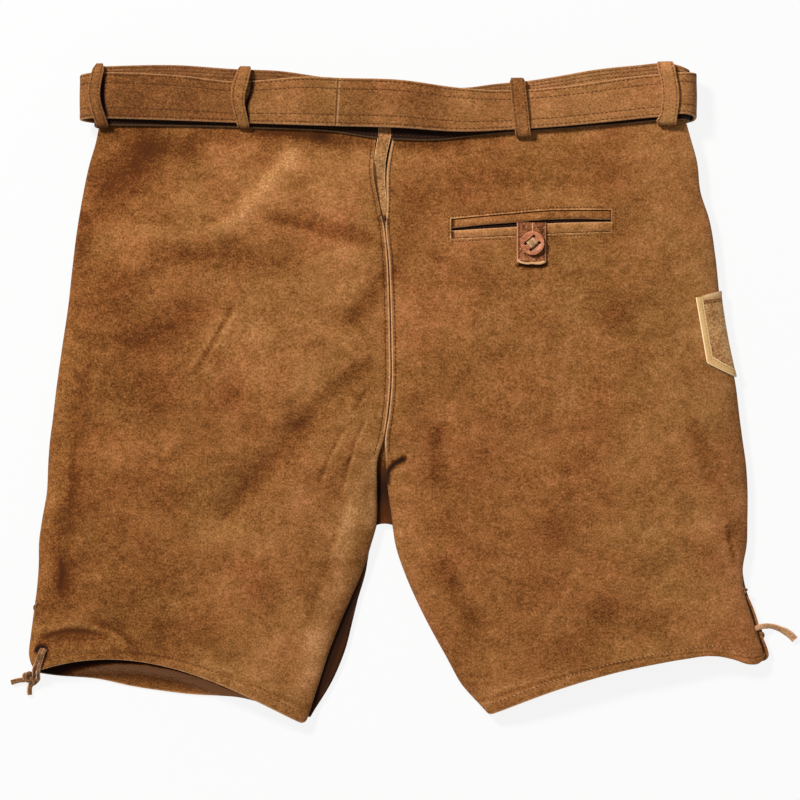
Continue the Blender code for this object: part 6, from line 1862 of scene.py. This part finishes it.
# ---------------------------------------------------------------- knife pocket
# A narrow pocket for a folding knife lies on the right side seam. Its panel is sandy split hide,
# bound down its back edge and along its foot with pale, smooth hide.
KNIFE_TOP_LEFT, KNIFE_TOP_RIGHT = (228.9, 72.5), (247.8, 77.6)
KNIFE_LOW_LEFT, KNIFE_LOW_RIGHT = (237.5, 22.3), (259.3, 10.5)
KNIFE_TOP_Y, KNIFE_LOW_Y = 75.0, 20.0
BINDING_WIDE, POCKET_LIFT, POCKET_WALL = 5.2, 0.45, 1.3
BINDING_LIFT = POCKET_LIFT + 0.8
BINDING_HIDE = suede("binding_hide", [(160, 112, 66), (190, 142, 92), (212, 166, 114), (226, 184, 134),
                                      (240, 206, 160)], (246, 218, 176), grain=0.45, patch=0.5, nap=0.6)


def right_skin(share, y):
    """A point of the right back panel at a share across it, at y."""
    i = min(np.searchsorted(SHARES, share, side="right") - 1, len(SHARES) - 2)
    column = lerp(RIGHT_BACK[:, i], RIGHT_BACK[:, i + 1], (share - SHARES[i]) / (SHARES[i + 1] - SHARES[i]))
    column = column[np.argsort(column[:, 1])]
    return read_off(y, column[:, 1], column)


def skin_point(share, y, lift):
    """A point moved out from the right back panel, square to its face there."""
    across = right_skin(min(1.0, share + 0.004), y) - right_skin(max(0.0, share - 0.004), y)
    ahead = right_skin(share, y + 4.0) - right_skin(share, y - 4.0)
    normal = unit(np.cross(across, ahead))
    return right_skin(share, y) + normal * math.copysign(lift, normal[2])


def share_at(x, y):
    """How far across the right back panel a place by its side lies."""
    low, high = 0.9, 1.0
    for _ in range(14):
        middle = (low + high) / 2
        if right_skin(middle, y)[0] < x:
            low = middle
        else:
            high = middle
    return (low + high) / 2


def line_y(start, end, x):
    """The height in Y of a straight line at x."""
    return lerp(start[1], end[1], (x - start[0]) / (end[0] - start[0]))


def knife_panel():
    """The pocket's own panel, inside its binding and round the side, and its top seam."""
    inset = BINDING_WIDE - 0.6
    rows = []
    for t in np.linspace(0, 1, 30):
        y_mid = lerp(KNIFE_TOP_Y, KNIFE_LOW_Y, t)
        start = share_at(lerp(KNIFE_TOP_LEFT[0], KNIFE_LOW_LEFT[0], t) + inset, y_mid)
        row = []
        for s in np.linspace(0, 1, 22):
            share = lerp(start, 1.0, s)
            x = right_skin(share, y_mid)[0]
            high_y = line_y(KNIFE_TOP_LEFT, KNIFE_TOP_RIGHT, min(x, KNIFE_TOP_RIGHT[0]))
            low_y = line_y(KNIFE_LOW_LEFT, KNIFE_LOW_RIGHT, x) + inset * 1.1
            rim = 0.5 * bell(t - 0.03, 0.04)
            puff = 0.5 * math.sin(math.pi * min(1.0, s * 1.1)) * math.sin(math.pi * t)
            row.append(skin_point(share, lerp(high_y, low_y, t), POCKET_LIFT + POCKET_WALL + rim + puff))
        rows.append(row)
    grid = np.array(rows)
    bare = np.zeros(grid.shape[:2])
    bare[0], bare[1], bare[2] = 0.95, 0.9, 0.5
    # painted light rising towards the side, where the panel curves away, and a darker band just under the
    # rolled top
    shade = 0.08 * ripple(grid[..., 0], grid[..., 1], 6.0, 111) + 0.35 * np.linspace(0, 1, 22) ** 2
    shade[3:5] -= 0.35
    piece = cloth("knife_pocket_hide", grid, POCKET_WALL, SPLIT_HIDE, cut=bare, tone=shade)
    fit(piece, "pale_suede", "knife_pocket")
    declare(piece, grid)
    return [(Vector(p) + Vector((0.04, 0.0, 0.12)), Vector((0.25, 0.0, 1.0)).normalized()) for p in grid[4]]


def knife_binding():
    """The pale binding down the back edge and along the foot of the pocket, and its seam."""
    outer, inner = [], []
    for t in np.linspace(0, 1, 22):
        x, y = (lerp(top, low, t) for top, low in zip(KNIFE_TOP_LEFT, KNIFE_LOW_LEFT))
        outer.append(skin_point(share_at(x, y), y, BINDING_LIFT))
        x, y = x + BINDING_WIDE * (1 - 0.1 * t), y + 0.6 * (1 - t) + 2.9 * t
        inner.append(skin_point(share_at(x, y), y, BINDING_LIFT))
    start = share_at(*KNIFE_LOW_LEFT)
    inner_start = share_at(KNIFE_LOW_LEFT[0] + BINDING_WIDE * 0.9, KNIFE_LOW_LEFT[1])
    for s in np.linspace(0.06, 1, 16):
        share = lerp(start, 1.0, s)
        y = line_y(KNIFE_LOW_LEFT, KNIFE_LOW_RIGHT, right_skin(share, 16.0)[0])
        outer.append(skin_point(share, y, BINDING_LIFT))
        inner.append(skin_point(lerp(inner_start, 1.0, s), y + BINDING_WIDE * 1.12, BINDING_LIFT))
    piece, place = strap("knife_binding_hide", np.array(outer), np.array(inner), (0.1, 0, 1),
                         POCKET_WALL + 0.5, BINDING_HIDE, [4.3], edge_power=0.5)
    fit(piece, "binding", "knife_binding")
    return strap_seam(place, 4.1, np.arange(1, len(outer) - 1, 0.5), 0.05)


sew("knife_hem_stitches", [knife_panel()], 2.8, 1.6, 0.26, BROWN_THREAD, "binding")
sew("knife_stitches", [knife_binding()], 2.4, 1.5, 0.26, PALE_THREAD, "binding")
